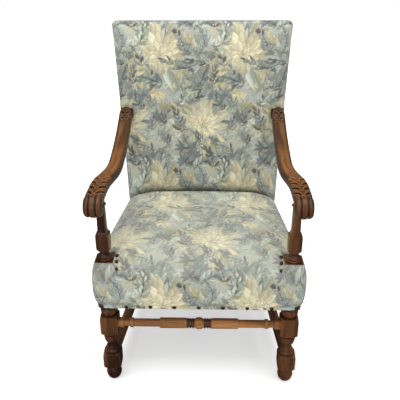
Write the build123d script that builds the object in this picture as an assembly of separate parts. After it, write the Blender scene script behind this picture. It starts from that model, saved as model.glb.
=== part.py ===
from build123d import *

import os
from math import asin, cos, hypot, radians, sin, sqrt, tan

# High-backed upholstered armchair with turned front legs, scrolled arms and a stretcher base.
# Millimetres. +Z is up, +X is the viewer's right and the chair faces -Y. The pieces are laid out with
# Y = 0 on the front posts' axes and Z = 0 on the floor, and the whole chair is centred front to back
# just before it is written.

# Front post, turned sections stacked from the floor up
POST_SIDE = 55.0
FOOT_HEIGHT = 52.0
FOOT_RADIUS = 24.5
FOOT_FLAT_RADIUS = 14.0
ANKLE_RADIUS = 16.5
ANKLE_HEIGHT = 5.0
FOOT_BULGE_SHARE = 0.66
LOWER_BLOCK_HEIGHT = 60.0
OGEE_HEIGHT = 33.0
OGEE_COLLAR_HEIGHT = 12.0
OGEE_COLLAR_RADIUS = 24.5
NECK_RADIUS = 14.0
CUP_HEIGHT = 43.0
CUP_RADIUS = 24.0
CUP_LIP_HEIGHT = 11.0
UPPER_BLOCK_HEIGHT = 70.0
BLOCK_SHOULDER = 11.0
BLOCK_SHOULDER_RADIUS = 22.5
RING_HEIGHT = 42.0
RING_RADIUS = 27.0
RING_GROOVE_RADIUS = 20.0
RING_GROOVE_HEIGHT = 4.0
RING_NECK_HEIGHT = 11.0
SEAT_BLOCK_HEIGHT = 164.0
BASE_HEIGHT = 25.0
BASE_RADIUS = 25.5
BASE_DISC_HEIGHT = 7.0
BASE_STEP_RADIUS = 20.5
BASE_NECK_RADIUS = 11.5
VASE_SIDE = 39.0
VASE_HEIGHT = 62.0
VASE_ROUND = 24.0
VASE_SHOULDER = 8.0
RIM_STEP = 3.0
FLARE_HEIGHT = 20.0
SHAFT_FOOT_SIDE = 25.0
SHAFT_TOP_SIDE = 23.0
SHAFT_HEIGHT = 89.0
SUPPORT_TENON_RADIUS = 7.5
SUPPORT_TENON_LENGTH = 22.0

# Plan of the frame and the rear posts
FRONT_POST_X = 285.5
REAR_POST_X = 238.0
SEAT_DEPTH = 484.0
REAR_POST_WIDTH = 42.0
REAR_POST_DEPTH = 42.0
REAR_FOOT_DEPTH = 34.0
REAR_FOOT_RAKE = 46.0
BACK_HEIGHT = 690.0
BACK_FLARE = 44.0
RECLINE = 8.3

# Rails and their tenons
RAIL_HEIGHT = 70.0
RAIL_THICKNESS = 28.0
BACK_RAIL_HEIGHT = 46.0
BACK_LOWER_RAIL_RISE = 90.0
TENON_THICKNESS = 12.0
TENON_DEPTH = 22.0
TENON_SHOULDER = 10.0
TENON_SETBACK = 8.0

# Stretchers
SIDE_STRETCHER_WIDTH = 26.0
SIDE_STRETCHER_HEIGHT = 30.0
REAR_STRETCHER_THICKNESS = 22.0
REAR_STRETCHER_HEIGHT = 34.0
FRONT_STRETCHER_TENON_RADIUS = 9.0
FRONT_STRETCHER_TENON_LENGTH = 20.0
BEAD_RADIUS = 19.5
BEAD_HALF_LENGTH = 15.0
GROOVED_RADIUS = 14.0
GROOVED_END = 40.0
RIB_RADIUS = 16.5
RIB_COUNT = 3
DRUM_RADIUS = 17.0
DRUM_END = 125.0
ROD_RADIUS = 13.0
ROD_END = 210.0
COLLAR_RADIUS = 16.0
COLLAR_LENGTH = 10.0
TAIL_RADIUS = 12.0
BOSS_RADIUS = 16.5

# Arms
ARM_THICKNESS = 36.0
ARM_WIDTH_REAR = 46.0
ARM_WIDTH_FRONT = 54.0
ARM_REAR_X = 268.0
ARM_FRONT_X = 295.0
ARM_SWAY_FRONT = 30.0
ARM_SWAY_REAR = 215.0
ARM_LEVEL_END = 90.0
ARM_CURVE_RADIUS = 880.0
ARM_EDGE_ROUND = 9.0
SCROLL_RADIUS = 33.0
SCROLL_GAP = 3.0
ARM_TENON_WIDTH = 14.0
ARM_TENON_HEIGHT = 20.0
ARM_PEG_RADIUS = 4.0
ARM_PEG_PROUD = 6.0
ARM_PEG_DROP = 12.0
ARM_PEG_DEPTH = 14.0

# Small joinery
FIT = 0.1
PEG_RADIUS = 3.5
PEG_LENGTH = 34.0
BLOCK_LEG = 72.0
BLOCK_HEIGHT = 36.0
BLOCK_RISE = 12.0
SCREW_RADIUS = 2.2
SCREW_HEAD_RADIUS = 4.5
SCREW_HEAD_HEIGHT = 2.4
SCREW_LENGTH = 50.0
ARM_SCREW_LENGTH = 58.0
PEG_EDGE = 12.0

# Upholstery
COVER = 1.6
LAYER_GAP = 0.3
POST_ROOM = 0.8
NAIL_BAND = 13.0
SKIRT = 3.0
SEAT_BULGE = 13.0
SEAT_BULGE_HEIGHT = 88.0
SEAT_CROWN_HEIGHT = 187.0
SEAT_CROWN_REACH = 165.0
SEAT_HEM_CORNER = 4.0
SEAT_CORNER_RADIUS = 34.0
SEAT_REAR_SHARE = 0.35
CROWN_SQUARENESS = 2.5
CROWN_STEPS = 9
DRAWN_IN_STEPS = 4
BACK_PAD_DEPTH = 45.0
BACK_PAD_SPREAD = 7.0
BACK_PAD_RISE = 82.0
BACK_CROWN_REACH = 135.0
BACK_CORNER_RADIUS = 16.0
WEB_WIDTH = 56.0
WEB_THICKNESS = 1.8
WEB_PITCH = 100.0
WEB_END = 9.0
BACK_WEB_PITCH_ACROSS = 130.0
BACK_STRAPS_PER_SIDE = 2
CANVAS = 1.2
CANVAS_INSET = 9.0
CANVAS_TAPER = 46.0
SPRING_WIRE_RADIUS = 1.9
SPRING_END_RADIUS = 36.0
SPRING_WAIST_RADIUS = 25.0
SPRING_TURNS = 5
SPRING_HEIGHT = 98.0
SPRING_PITCH_ACROSS = 135.0
SPRING_PITCH_DEEP = 140.0
DUST_INSET = 22.0
PANEL_INSET = 2.0
NAIL_RADIUS = 6.2
NAIL_RISE = 4.2
NAIL_SHANK_RADIUS = 1.2
NAIL_SHANK_LENGTH = 12.0
NAIL_SPACING = 75.0
CORNER_NAIL_INSET = 11.0
POST_NAIL_REACH = 9.0
BACK_NAIL_SPACING = 62.0
BACK_NAIL_INSET = 9.0

# Heights and places that follow from the sizes above
LOWER_BLOCK_Z = FOOT_HEIGHT
OGEE_Z = LOWER_BLOCK_Z + LOWER_BLOCK_HEIGHT
CUP_Z = OGEE_Z + OGEE_HEIGHT
UPPER_BLOCK_Z = CUP_Z + CUP_HEIGHT
RING_Z = UPPER_BLOCK_Z + UPPER_BLOCK_HEIGHT
RAIL_Z = RING_Z + RING_HEIGHT
RAIL_TOP = RAIL_Z + RAIL_HEIGHT
BASE_Z = RAIL_Z + SEAT_BLOCK_HEIGHT
VASE_Z = BASE_Z + BASE_HEIGHT
FLARE_Z = VASE_Z + VASE_HEIGHT
SHAFT_Z = FLARE_Z + FLARE_HEIGHT
ARM_Z = SHAFT_Z + SHAFT_HEIGHT
ARM_TOP = ARM_Z + ARM_THICKNESS
SIDE_STRETCHER_Z = LOWER_BLOCK_Z + LOWER_BLOCK_HEIGHT / 2
FRONT_STRETCHER_Z = UPPER_BLOCK_Z + UPPER_BLOCK_HEIGHT / 2
BACK_TOP = RAIL_TOP + BACK_HEIGHT
POST_HALF = POST_SIDE / 2
POST_INNER_X = FRONT_POST_X - POST_HALF
POST_OUTER_X = FRONT_POST_X + POST_HALF
REAR_INNER_X = REAR_POST_X - REAR_POST_WIDTH / 2
REAR_OUTER_X = REAR_POST_X + REAR_POST_WIDTH / 2
REAR_FRONT_Y = SEAT_DEPTH - REAR_POST_DEPTH / 2
REAR_BACK_Y = SEAT_DEPTH + REAR_POST_DEPTH / 2
POST_FACE_T = REAR_POST_DEPTH / 2 * cos(radians(RECLINE))
SCROLL_Y = -SHAFT_TOP_SIDE / 2 - SCROLL_GAP - SCROLL_RADIUS
SEAT_MIDDLE_Y = (REAR_BACK_Y - POST_HALF) / 2
BACK_LENGTH = BACK_HEIGHT / cos(radians(RECLINE))
HEM = SKIRT + LAYER_GAP + COVER
SEAT_BULGE_Z = RAIL_Z + SEAT_BULGE_HEIGHT
SEAT_CROWN_Z = RAIL_Z + SEAT_CROWN_HEIGHT
WEB_STEP = WEB_THICKNESS + LAYER_GAP
CANVAS_T = POST_FACE_T + FIT + 2 * WEB_STEP
BACK_PAD_T = CANVAS_T + CANVAS + LAYER_GAP

# The back's own plane: x across, y up the recline, z towards the sitter
BACK = Plane(
    origin=(0, SEAT_DEPTH, RAIL_TOP),
    x_dir=(1, 0, 0),
    z_dir=(0, -cos(radians(RECLINE)), sin(radians(RECLINE))),
)


def up_the_back(z):
    """Distance up the back's plane at height z."""
    return (z - RAIL_TOP) / cos(radians(RECLINE))


def box_between(low, high):
    """Box from its lowest corner to its highest corner."""
    size = [b - a for a, b in zip(low, high)]
    return Pos(*low) * Box(*size, align=(Align.MIN, Align.MIN, Align.MIN))


def prism(points, z_low, z_high):
    """Upright prism on a plan polygon."""
    face = make_face(Polyline(*points, close=True))
    return Pos(0, 0, z_low) * extrude(face, z_high - z_low)


def turned(*edges):
    """Solid turned about Z from profile edges that run from the axis back to the axis, as (radius, height)."""
    outline = Curve() + list(edges)
    start, end = outline @ 0, outline @ 1
    face = make_face(Plane.XZ * (outline + Line(end, start)))
    return revolve(face, Axis.Z)


def rod(start, direction, length, radius):
    """Round rod from a start point along a direction."""
    return Plane(origin=start, z_dir=direction) * extrude(Circle(radius), length)


def both(piece):
    """The right-hand piece with its mirror image for the left."""
    return {"right": piece, "left": mirror(piece, about=Plane.YZ)}


# Turned front posts


def square_block(bottom, height, side):
    """Square block left on the turning, with rounded lathe shoulders at both ends."""
    corner = side / sqrt(2) + 1
    top = bottom + height
    shoulders = turned(
        Line((0, bottom), (BLOCK_SHOULDER_RADIUS, bottom)),
        ThreePointArc(
            (BLOCK_SHOULDER_RADIUS, bottom),
            ((BLOCK_SHOULDER_RADIUS + corner) / 2 + 2, bottom + BLOCK_SHOULDER * 0.36),
            (corner, bottom + BLOCK_SHOULDER),
        ),
        Line((corner, bottom + BLOCK_SHOULDER), (corner, top - BLOCK_SHOULDER)),
        ThreePointArc(
            (corner, top - BLOCK_SHOULDER),
            ((BLOCK_SHOULDER_RADIUS + corner) / 2 + 2, top - BLOCK_SHOULDER * 0.36),
            (BLOCK_SHOULDER_RADIUS, top),
        ),
        Line((BLOCK_SHOULDER_RADIUS, top), (0, top)),
    )
    return shoulders & Pos(0, 0, bottom) * extrude(Rectangle(side, side), height)


def ball_foot():
    ankle = FOOT_HEIGHT - ANKLE_HEIGHT
    return turned(
        Line((0, 0), (FOOT_FLAT_RADIUS, 0)),
        ThreePointArc((FOOT_FLAT_RADIUS, 0), (FOOT_RADIUS, ankle * FOOT_BULGE_SHARE), (ANKLE_RADIUS, ankle)),
        Line((ANKLE_RADIUS, ankle), (ANKLE_RADIUS, FOOT_HEIGHT)),
        Line((ANKLE_RADIUS, FOOT_HEIGHT), (0, FOOT_HEIGHT)),
    )


def ogee_and_cup():
    """Collar and bell that fall away from the lower block to the neck, and the bowl that rises from it."""
    collar = OGEE_Z + OGEE_COLLAR_HEIGHT
    lip = CUP_Z + CUP_HEIGHT - CUP_LIP_HEIGHT
    edge = lip + CUP_LIP_HEIGHT * 0.45
    top = CUP_Z + CUP_HEIGHT
    bell = (CUP_Z - collar) / 2
    return turned(
        Line((0, OGEE_Z), (BLOCK_SHOULDER_RADIUS, OGEE_Z)),
        ThreePointArc((BLOCK_SHOULDER_RADIUS, OGEE_Z), (OGEE_COLLAR_RADIUS, (OGEE_Z + collar) / 2),
                      (RING_GROOVE_RADIUS, collar)),
        Bezier((RING_GROOVE_RADIUS, collar), (RING_GROOVE_RADIUS, collar + bell), (NECK_RADIUS, CUP_Z - bell),
               (NECK_RADIUS, CUP_Z)),
        Bezier((NECK_RADIUS, CUP_Z), (NECK_RADIUS + 1, CUP_Z + CUP_HEIGHT * 0.1),
               (CUP_RADIUS, lip - CUP_HEIGHT * 0.5), (CUP_RADIUS, lip)),
        ThreePointArc((CUP_RADIUS, lip), (CUP_RADIUS - 1.5, lip + CUP_LIP_HEIGHT * 0.3), (ANKLE_RADIUS, edge)),
        Line((ANKLE_RADIUS, edge), (ANKLE_RADIUS, top)),
        Line((ANKLE_RADIUS, top), (0, top)),
    )


def seat_ring():
    """Fat ring between the upper block and the seat, with a groove below and a neck above."""
    low = RING_Z + RING_GROOVE_HEIGHT
    high = RAIL_Z - RING_NECK_HEIGHT
    return turned(
        Line((0, RING_Z), (RING_GROOVE_RADIUS, RING_Z)),
        Line((RING_GROOVE_RADIUS, RING_Z), (RING_GROOVE_RADIUS, low)),
        ThreePointArc((RING_GROOVE_RADIUS, low), (RING_RADIUS, (low + high) / 2), (RING_GROOVE_RADIUS, high)),
        Line((RING_GROOVE_RADIUS, high), (RING_GROOVE_RADIUS, RAIL_Z)),
        Line((RING_GROOVE_RADIUS, RAIL_Z), (0, RAIL_Z)),
    )


def support_base():
    """Disc, step and hollow neck that stand on the seat."""
    disc = BASE_Z + BASE_DISC_HEIGHT
    step = disc + BASE_DISC_HEIGHT
    return turned(
        Line((0, BASE_Z), (BASE_STEP_RADIUS, BASE_Z)),
        ThreePointArc((BASE_STEP_RADIUS, BASE_Z), (BASE_RADIUS, (BASE_Z + disc) / 2), (BASE_STEP_RADIUS, disc)),
        ThreePointArc((BASE_STEP_RADIUS, disc), (BASE_STEP_RADIUS + 1, (disc + step) / 2),
                      (BASE_STEP_RADIUS - 3, step)),
        Bezier((BASE_STEP_RADIUS - 3, step), (BASE_NECK_RADIUS + 1, step + 3), (BASE_NECK_RADIUS, step + 8),
               (BASE_NECK_RADIUS, VASE_Z)),
        Line((BASE_NECK_RADIUS, VASE_Z), (0, VASE_Z)),
    )


def square_vase():
    """Square vase of the arm support, rounded on the lathe at its foot and shoulder."""
    corner = VASE_SIDE / sqrt(2) + 1
    rim = corner - RIM_STEP * sqrt(2)
    rounded = turned(
        Line((0, VASE_Z), (BASE_NECK_RADIUS, VASE_Z)),
        ThreePointArc((BASE_NECK_RADIUS, VASE_Z), (corner * 0.78, VASE_Z + VASE_ROUND * 0.36),
                      (corner, VASE_Z + VASE_ROUND)),
        Line((corner, VASE_Z + VASE_ROUND), (corner, FLARE_Z - VASE_SHOULDER)),
        ThreePointArc((corner, FLARE_Z - VASE_SHOULDER), (corner - 1.5, FLARE_Z - VASE_SHOULDER * 0.4),
                      (rim, FLARE_Z)),
        Line((rim, FLARE_Z), (0, FLARE_Z)),
    )
    return rounded & Pos(0, 0, VASE_Z) * extrude(Rectangle(VASE_SIDE, VASE_SIDE), VASE_HEIGHT)


def square_shaft():
    """Square shaft that flares out over the vase and carries the arm on a round tenon."""
    rim_side = VASE_SIDE - 2 * RIM_STEP
    drop = rim_side - SHAFT_FOOT_SIDE
    stations = [(0.0, rim_side), (0.25, SHAFT_FOOT_SIDE + 0.42 * drop), (0.6, SHAFT_FOOT_SIDE + 0.1 * drop),
                (1.0, SHAFT_FOOT_SIDE)]
    levels = [(FLARE_Z + FLARE_HEIGHT * share, side) for share, side in stations]
    flare = loft([Pos(0, 0, z) * Rectangle(side, side) for z, side in levels])
    shaft = loft([Pos(0, 0, SHAFT_Z) * Rectangle(SHAFT_FOOT_SIDE, SHAFT_FOOT_SIDE),
                  Pos(0, 0, ARM_Z) * Rectangle(SHAFT_TOP_SIDE, SHAFT_TOP_SIDE)])
    tenon = rod((0, 0, ARM_Z), (0, 0, 1), SUPPORT_TENON_LENGTH, SUPPORT_TENON_RADIUS)
    return flare + shaft + tenon


def front_post():
    """Leg and arm support turned from one length of wood, for the right side."""
    seat_block = Pos(0, 0, RAIL_Z) * extrude(Rectangle(POST_SIDE, POST_SIDE), SEAT_BLOCK_HEIGHT)
    post = (
        ball_foot()
        + square_block(LOWER_BLOCK_Z, LOWER_BLOCK_HEIGHT, POST_SIDE)
        + ogee_and_cup()
        + square_block(UPPER_BLOCK_Z, UPPER_BLOCK_HEIGHT, POST_SIDE)
        + seat_ring()
        + seat_block
        + support_base()
        + square_vase()
        + square_shaft()
    )
    return Pos(FRONT_POST_X, 0, 0) * post


def rear_post():
    """Rear leg and back upright sawn from one plank: raked below the seat, reclined and flared above it."""
    over = 1 + REAR_POST_DEPTH / BACK_HEIGHT
    way = Vector(BACK_FLARE, BACK_HEIGHT * tan(radians(RECLINE)), BACK_HEIGHT) * over
    foot = SEAT_DEPTH + REAR_FOOT_RAKE
    side_view = [
        (foot - REAR_FOOT_DEPTH / 2, 0),
        (foot + REAR_FOOT_DEPTH / 2, 0),
        (REAR_BACK_Y, RAIL_Z),
        (REAR_BACK_Y, RAIL_TOP),
        (REAR_FRONT_Y, RAIL_TOP),
        (REAR_FRONT_Y, RAIL_Z),
    ]
    plank = Plane.YZ * make_face(Polyline(*side_view, close=True))
    leg = Pos(REAR_INNER_X, 0, 0) * extrude(plank, REAR_POST_WIDTH)
    foot_print = Pos(REAR_POST_X, SEAT_DEPTH, RAIL_TOP) * Rectangle(REAR_POST_WIDTH, REAR_POST_DEPTH)
    upright = extrude(foot_print, way.length, dir=way.normalized())
    above = BACK * Pos(REAR_POST_X, BACK_LENGTH, 0) * Box(
        BACK_HEIGHT, REAR_POST_DEPTH * 4, REAR_POST_DEPTH * 4, align=(Align.CENTER, Align.MIN, Align.CENTER)
    )
    return leg + upright - above


# Plan lines that the rails, the side stretchers and the upholstery share


def side_line(y, inset=0.0):
    """X of the seat's right outer side at depth y, moved inwards by inset measured square to the side."""
    slope = (REAR_OUTER_X - POST_OUTER_X) / (REAR_BACK_Y - POST_HALF)
    return POST_OUTER_X + slope * (y - POST_HALF) - inset * hypot(1, slope)


def seat_plan(grow, grow_rear):
    """Corners of the seat's plan, grown outwards from the frame: front left round to rear left."""
    front = -POST_HALF - grow
    rear = REAR_BACK_Y + grow_rear
    right = [(side_line(front, -grow), front), (side_line(rear, -grow), rear)]
    return [(-right[0][0], front), right[0], right[1], (-right[1][0], rear)]


# Seat rails, stretchers and back rails


def seat_rail_front():
    y = -POST_HALF
    rail = box_between((-POST_INNER_X, y, RAIL_Z), (POST_INNER_X, y + RAIL_THICKNESS, RAIL_TOP))
    middle = -TENON_SETBACK
    tenon = box_between(
        (POST_INNER_X, middle - TENON_THICKNESS / 2, RAIL_Z + TENON_SHOULDER),
        (POST_INNER_X + TENON_DEPTH + TENON_SETBACK, middle + TENON_THICKNESS / 2, RAIL_TOP - TENON_SHOULDER),
    )
    return rail, tenon


def seat_rail_rear():
    face = REAR_BACK_Y - RAIL_THICKNESS
    rail = box_between((-REAR_INNER_X, face, RAIL_Z), (REAR_INNER_X, REAR_BACK_Y, RAIL_TOP))
    middle = SEAT_DEPTH + TENON_SETBACK
    tenon = box_between(
        (REAR_INNER_X, middle - TENON_THICKNESS / 2, RAIL_Z + TENON_SHOULDER),
        (REAR_INNER_X + TENON_DEPTH, middle + TENON_THICKNESS / 2, RAIL_TOP - TENON_SHOULDER),
    )
    return rail, tenon


def seat_rail_side():
    """Right-hand rail between the posts, square in section and splayed in plan, with a tenon at each end."""
    front, rear = POST_HALF, REAR_FRONT_Y
    rail = prism(
        [(side_line(front, RAIL_THICKNESS), front), (side_line(front), front),
         (side_line(rear), rear), (side_line(rear, RAIL_THICKNESS), rear)],
        RAIL_Z,
        RAIL_TOP,
    )
    front_x = FRONT_POST_X + TENON_SETBACK
    rear_x = side_line(rear, RAIL_THICKNESS / 2)
    low, high = RAIL_Z + TENON_SHOULDER, RAIL_TOP - TENON_SHOULDER
    half = TENON_THICKNESS / 2
    front_tenon = box_between((front_x - half, front - TENON_DEPTH, low), (front_x + half, front, high))
    rear_tenon = box_between((rear_x - half, rear, low), (rear_x + half, rear + TENON_DEPTH - FIT, high))
    return rail, front_tenon, rear_tenon


def side_stretcher(rear_leg):
    """Plain right-hand stretcher from the front leg's lower block to the rear leg, cut to its rake."""
    half = SIDE_STRETCHER_WIDTH / 2
    reach = SEAT_DEPTH + REAR_FOOT_RAKE
    low = SIDE_STRETCHER_Z - SIDE_STRETCHER_HEIGHT / 2
    high = SIDE_STRETCHER_Z + SIDE_STRETCHER_HEIGHT / 2
    bar = prism(
        [(FRONT_POST_X - half, POST_HALF), (FRONT_POST_X + half, POST_HALF),
         (REAR_POST_X + half, reach), (REAR_POST_X - half, reach)],
        low,
        high,
    )
    bar = (bar - rear_leg).solids().sort_by(Axis.Y)[0]
    half_tenon = TENON_THICKNESS / 2
    rear_face = rear_leg_front(SIDE_STRETCHER_Z)
    front_tenon = box_between(
        (FRONT_POST_X - half_tenon, POST_HALF - TENON_DEPTH, low + TENON_SHOULDER / 2),
        (FRONT_POST_X + half_tenon, POST_HALF, high - TENON_SHOULDER / 2),
    )
    rear_tenon = box_between(
        (REAR_POST_X - half_tenon, rear_face - TENON_SHOULDER, low + TENON_SHOULDER / 2),
        (REAR_POST_X + half_tenon, rear_face + TENON_DEPTH, high - TENON_SHOULDER / 2),
    )
    return bar + front_tenon + rear_tenon, front_tenon, rear_tenon


def rear_leg_front(z):
    """Y of the rear leg's front face at height z, below the seat."""
    share = 1 - z / RAIL_Z
    axis = SEAT_DEPTH + REAR_FOOT_RAKE * share
    return axis - (REAR_POST_DEPTH + (REAR_FOOT_DEPTH - REAR_POST_DEPTH) * share) / 2


def rear_stretcher():
    """Plain bar between the rear legs, level with the side stretchers."""
    middle = rear_leg_front(SIDE_STRETCHER_Z) + REAR_POST_DEPTH / 2
    half = REAR_STRETCHER_THICKNESS / 2
    low = SIDE_STRETCHER_Z - REAR_STRETCHER_HEIGHT / 2
    high = SIDE_STRETCHER_Z + REAR_STRETCHER_HEIGHT / 2
    bar = box_between((-REAR_INNER_X, middle - half, low), (REAR_INNER_X, middle + half, high))
    clear_of_side_tenon = REAR_POST_X - TENON_THICKNESS / 2 - FIT
    tenon = box_between(
        (REAR_INNER_X, middle + half - TENON_THICKNESS, low + TENON_SHOULDER),
        (clear_of_side_tenon, middle + half, high - TENON_SHOULDER),
    )
    return bar, tenon


def front_stretcher():
    """Turned bar between the front legs: bead in the middle, then ribs, drums, rods, collars and bosses."""
    half = POST_INNER_X
    tail = half - BOSS_RADIUS
    steps = [
        (BEAD_HALF_LENGTH, GROOVED_END, GROOVED_RADIUS),
        (GROOVED_END, DRUM_END, DRUM_RADIUS),
        (DRUM_END, ROD_END, ROD_RADIUS),
        (ROD_END, ROD_END + COLLAR_LENGTH, COLLAR_RADIUS),
        (ROD_END + COLLAR_LENGTH, tail, TAIL_RADIUS),
        (tail, half, BOSS_RADIUS),
        (half, half + FRONT_STRETCHER_TENON_LENGTH, FRONT_STRETCHER_TENON_RADIUS),
    ]
    rib = (GROOVED_END - BEAD_HALF_LENGTH) / (2 * RIB_COUNT)
    for start in [BEAD_HALF_LENGTH + rib * (2 * k + 0.5) for k in range(RIB_COUNT)]:
        steps.append((start, start + rib, RIB_RADIUS))
    bar = turned(
        Line((0, -BEAD_HALF_LENGTH), (GROOVED_RADIUS, -BEAD_HALF_LENGTH)),
        ThreePointArc((GROOVED_RADIUS, -BEAD_HALF_LENGTH), (BEAD_RADIUS, 0),
                      (GROOVED_RADIUS, BEAD_HALF_LENGTH)),
        Line((GROOVED_RADIUS, BEAD_HALF_LENGTH), (0, BEAD_HALF_LENGTH)),
    )
    for start, end, radius in steps:
        length = rod((0, 0, start), (0, 0, 1), end - start, radius)
        bar += length + mirror(length, about=Plane.XY)
    return Pos(0, 0, FRONT_STRETCHER_Z) * Rot(0, 90, 0) * bar


def back_rail(low, right_post):
    """Cross rail of the back, from low up its plane, flush with the posts' faces and cut to their flare."""
    middle = low + BACK_RAIL_HEIGHT / 2
    half = REAR_POST_X + BACK_FLARE
    rail = BACK * Pos(0, middle, 0) * Box(2 * half, BACK_RAIL_HEIGHT, 2 * POST_FACE_T)
    rail = (rail - right_post - mirror(right_post, about=Plane.YZ)).solids().sort_by(SortBy.VOLUME)[-1]
    tenon_size = (2 * TENON_DEPTH, BACK_RAIL_HEIGHT - 2 * TENON_SHOULDER, TENON_THICKNESS)
    tenon = BACK * Pos(post_inner(middle), middle, 0) * Box(*tenon_size)
    return rail, tenon


def post_inner(up):
    """X of the right rear post's inner face, a distance up the back's plane."""
    return REAR_INNER_X + BACK_FLARE * up / BACK_LENGTH


def post_outer(up):
    """X of the right rear post's outer face, a distance up the back's plane."""
    return post_inner(up) + REAR_POST_WIDTH


# Arms


def arm_top(y):
    """Height of the arm's top line at depth y."""
    if y <= ARM_LEVEL_END:
        return ARM_TOP
    return ARM_TOP + ARM_CURVE_RADIUS - sqrt(ARM_CURVE_RADIUS**2 - (y - ARM_LEVEL_END) ** 2)


def arm_arc(radius, share):
    """Point (y, z) on the arm's long rising arc, at a share of its sweep, which ends behind the post's face."""
    angle = asin((arm_end()[0] + REAR_POST_DEPTH / 2 - ARM_LEVEL_END) / ARM_CURVE_RADIUS) * share
    return (ARM_LEVEL_END + radius * sin(angle), ARM_TOP + ARM_CURVE_RADIUS - radius * cos(angle))


def arm_side_outline():
    """Side view of the arm as (y, z): scroll, level run, then one long rising arc to behind the post's face."""
    scroll_z = ARM_TOP - SCROLL_RADIUS
    notch = SCROLL_Y + sqrt(SCROLL_RADIUS**2 - (ARM_Z - scroll_z) ** 2)
    diagonal = SCROLL_RADIUS * sin(radians(45))
    upper, lower = ARM_CURVE_RADIUS, ARM_CURVE_RADIUS + ARM_THICKNESS
    return make_face(Curve() + [
        Line((SCROLL_Y, ARM_TOP), (ARM_LEVEL_END, ARM_TOP)),
        ThreePointArc(arm_arc(upper, 0), arm_arc(upper, 0.5), arm_arc(upper, 1)),
        Line(arm_arc(upper, 1), arm_arc(lower, 1)),
        ThreePointArc(arm_arc(lower, 1), arm_arc(lower, 0.5), arm_arc(lower, 0)),
        Line((ARM_LEVEL_END, ARM_Z), (notch, ARM_Z)),
        ThreePointArc((notch, ARM_Z), (SCROLL_Y, scroll_z - SCROLL_RADIUS),
                      (SCROLL_Y - SCROLL_RADIUS, scroll_z)),
        ThreePointArc((SCROLL_Y - SCROLL_RADIUS, scroll_z), (SCROLL_Y - diagonal, scroll_z + diagonal),
                      (SCROLL_Y, ARM_TOP)),
    ])


def arm_plan_outline(reach):
    """Plan of the right arm: it leaves the back straight, sways outwards and broadens to the scroll."""
    front = SCROLL_Y - SCROLL_RADIUS - SCROLL_GAP
    middle = (ARM_SWAY_FRONT + ARM_SWAY_REAR) / 2
    edges = []
    for side in (1, -1):
        rear_x = ARM_REAR_X + side * ARM_WIDTH_REAR / 2
        front_x = ARM_FRONT_X + side * ARM_WIDTH_FRONT / 2
        edges += [
            Line((rear_x, reach), (rear_x, ARM_SWAY_REAR)),
            Bezier((rear_x, ARM_SWAY_REAR), (rear_x, middle), (front_x, middle), (front_x, ARM_SWAY_FRONT)),
            Line((front_x, ARM_SWAY_FRONT), (front_x, front)),
            Line((ARM_FRONT_X, front), (front_x, front)),
            Line((ARM_REAR_X, reach), (rear_x, reach)),
        ]
    return make_face(Curve() + edges)


def arm_end():
    """Depth and height (y, z) of the middle of the arm where it meets the rear post's front face."""
    y = REAR_FRONT_Y
    for _ in range(20):
        z = arm_top(y) - ARM_THICKNESS / 2
        y = REAR_FRONT_Y + (z - RAIL_TOP) * tan(radians(RECLINE))
    return y, z


def arm():
    """Right arm, square where it meets the post, with the tenon that holds it there."""
    reach = SEAT_DEPTH + BACK_HEIGHT
    side = extrude(Plane.YZ * arm_side_outline(), ARM_FRONT_X + ARM_WIDTH_FRONT)
    solid = side & extrude(arm_plan_outline(reach), BACK_TOP)
    behind = BACK * Pos(0, 0, POST_FACE_T) * extrude(Rectangle(2 * reach, 2 * reach), -reach)
    solid = solid - behind
    shortest = (ARM_SWAY_REAR - ARM_SWAY_FRONT) * 0.75
    solid = fillet([e for e in solid.edges() if e.length > shortest], ARM_EDGE_ROUND)
    socket = rod((FRONT_POST_X, 0, ARM_Z), (0, 0, 1), SUPPORT_TENON_LENGTH + FIT, SUPPORT_TENON_RADIUS + FIT)
    tenon = BACK * Pos(ARM_REAR_X, up_the_back(arm_end()[1]), POST_FACE_T - TENON_DEPTH / 2) * Box(
        ARM_TENON_WIDTH, ARM_TENON_HEIGHT, TENON_DEPTH
    )
    return solid - socket, tenon


def arm_sleeve():
    """Room that the upholstery of the back leaves for the end of the right arm."""
    upper, lower = ARM_CURVE_RADIUS - LAYER_GAP, ARM_CURVE_RADIUS + ARM_THICKNESS + LAYER_GAP
    face = make_face(Curve() + [
        ThreePointArc(arm_arc(upper, 0.5), arm_arc(upper, 0.75), arm_arc(upper, 1)),
        Line(arm_arc(upper, 1), arm_arc(lower, 1)),
        ThreePointArc(arm_arc(lower, 1), arm_arc(lower, 0.75), arm_arc(lower, 0.5)),
        Line(arm_arc(lower, 0.5), arm_arc(upper, 0.5)),
    ])
    half = ARM_WIDTH_REAR / 2 + LAYER_GAP
    return Pos(ARM_REAR_X - half, 0, 0) * extrude(Plane.YZ * face, 2 * half)


# Small joinery


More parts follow.
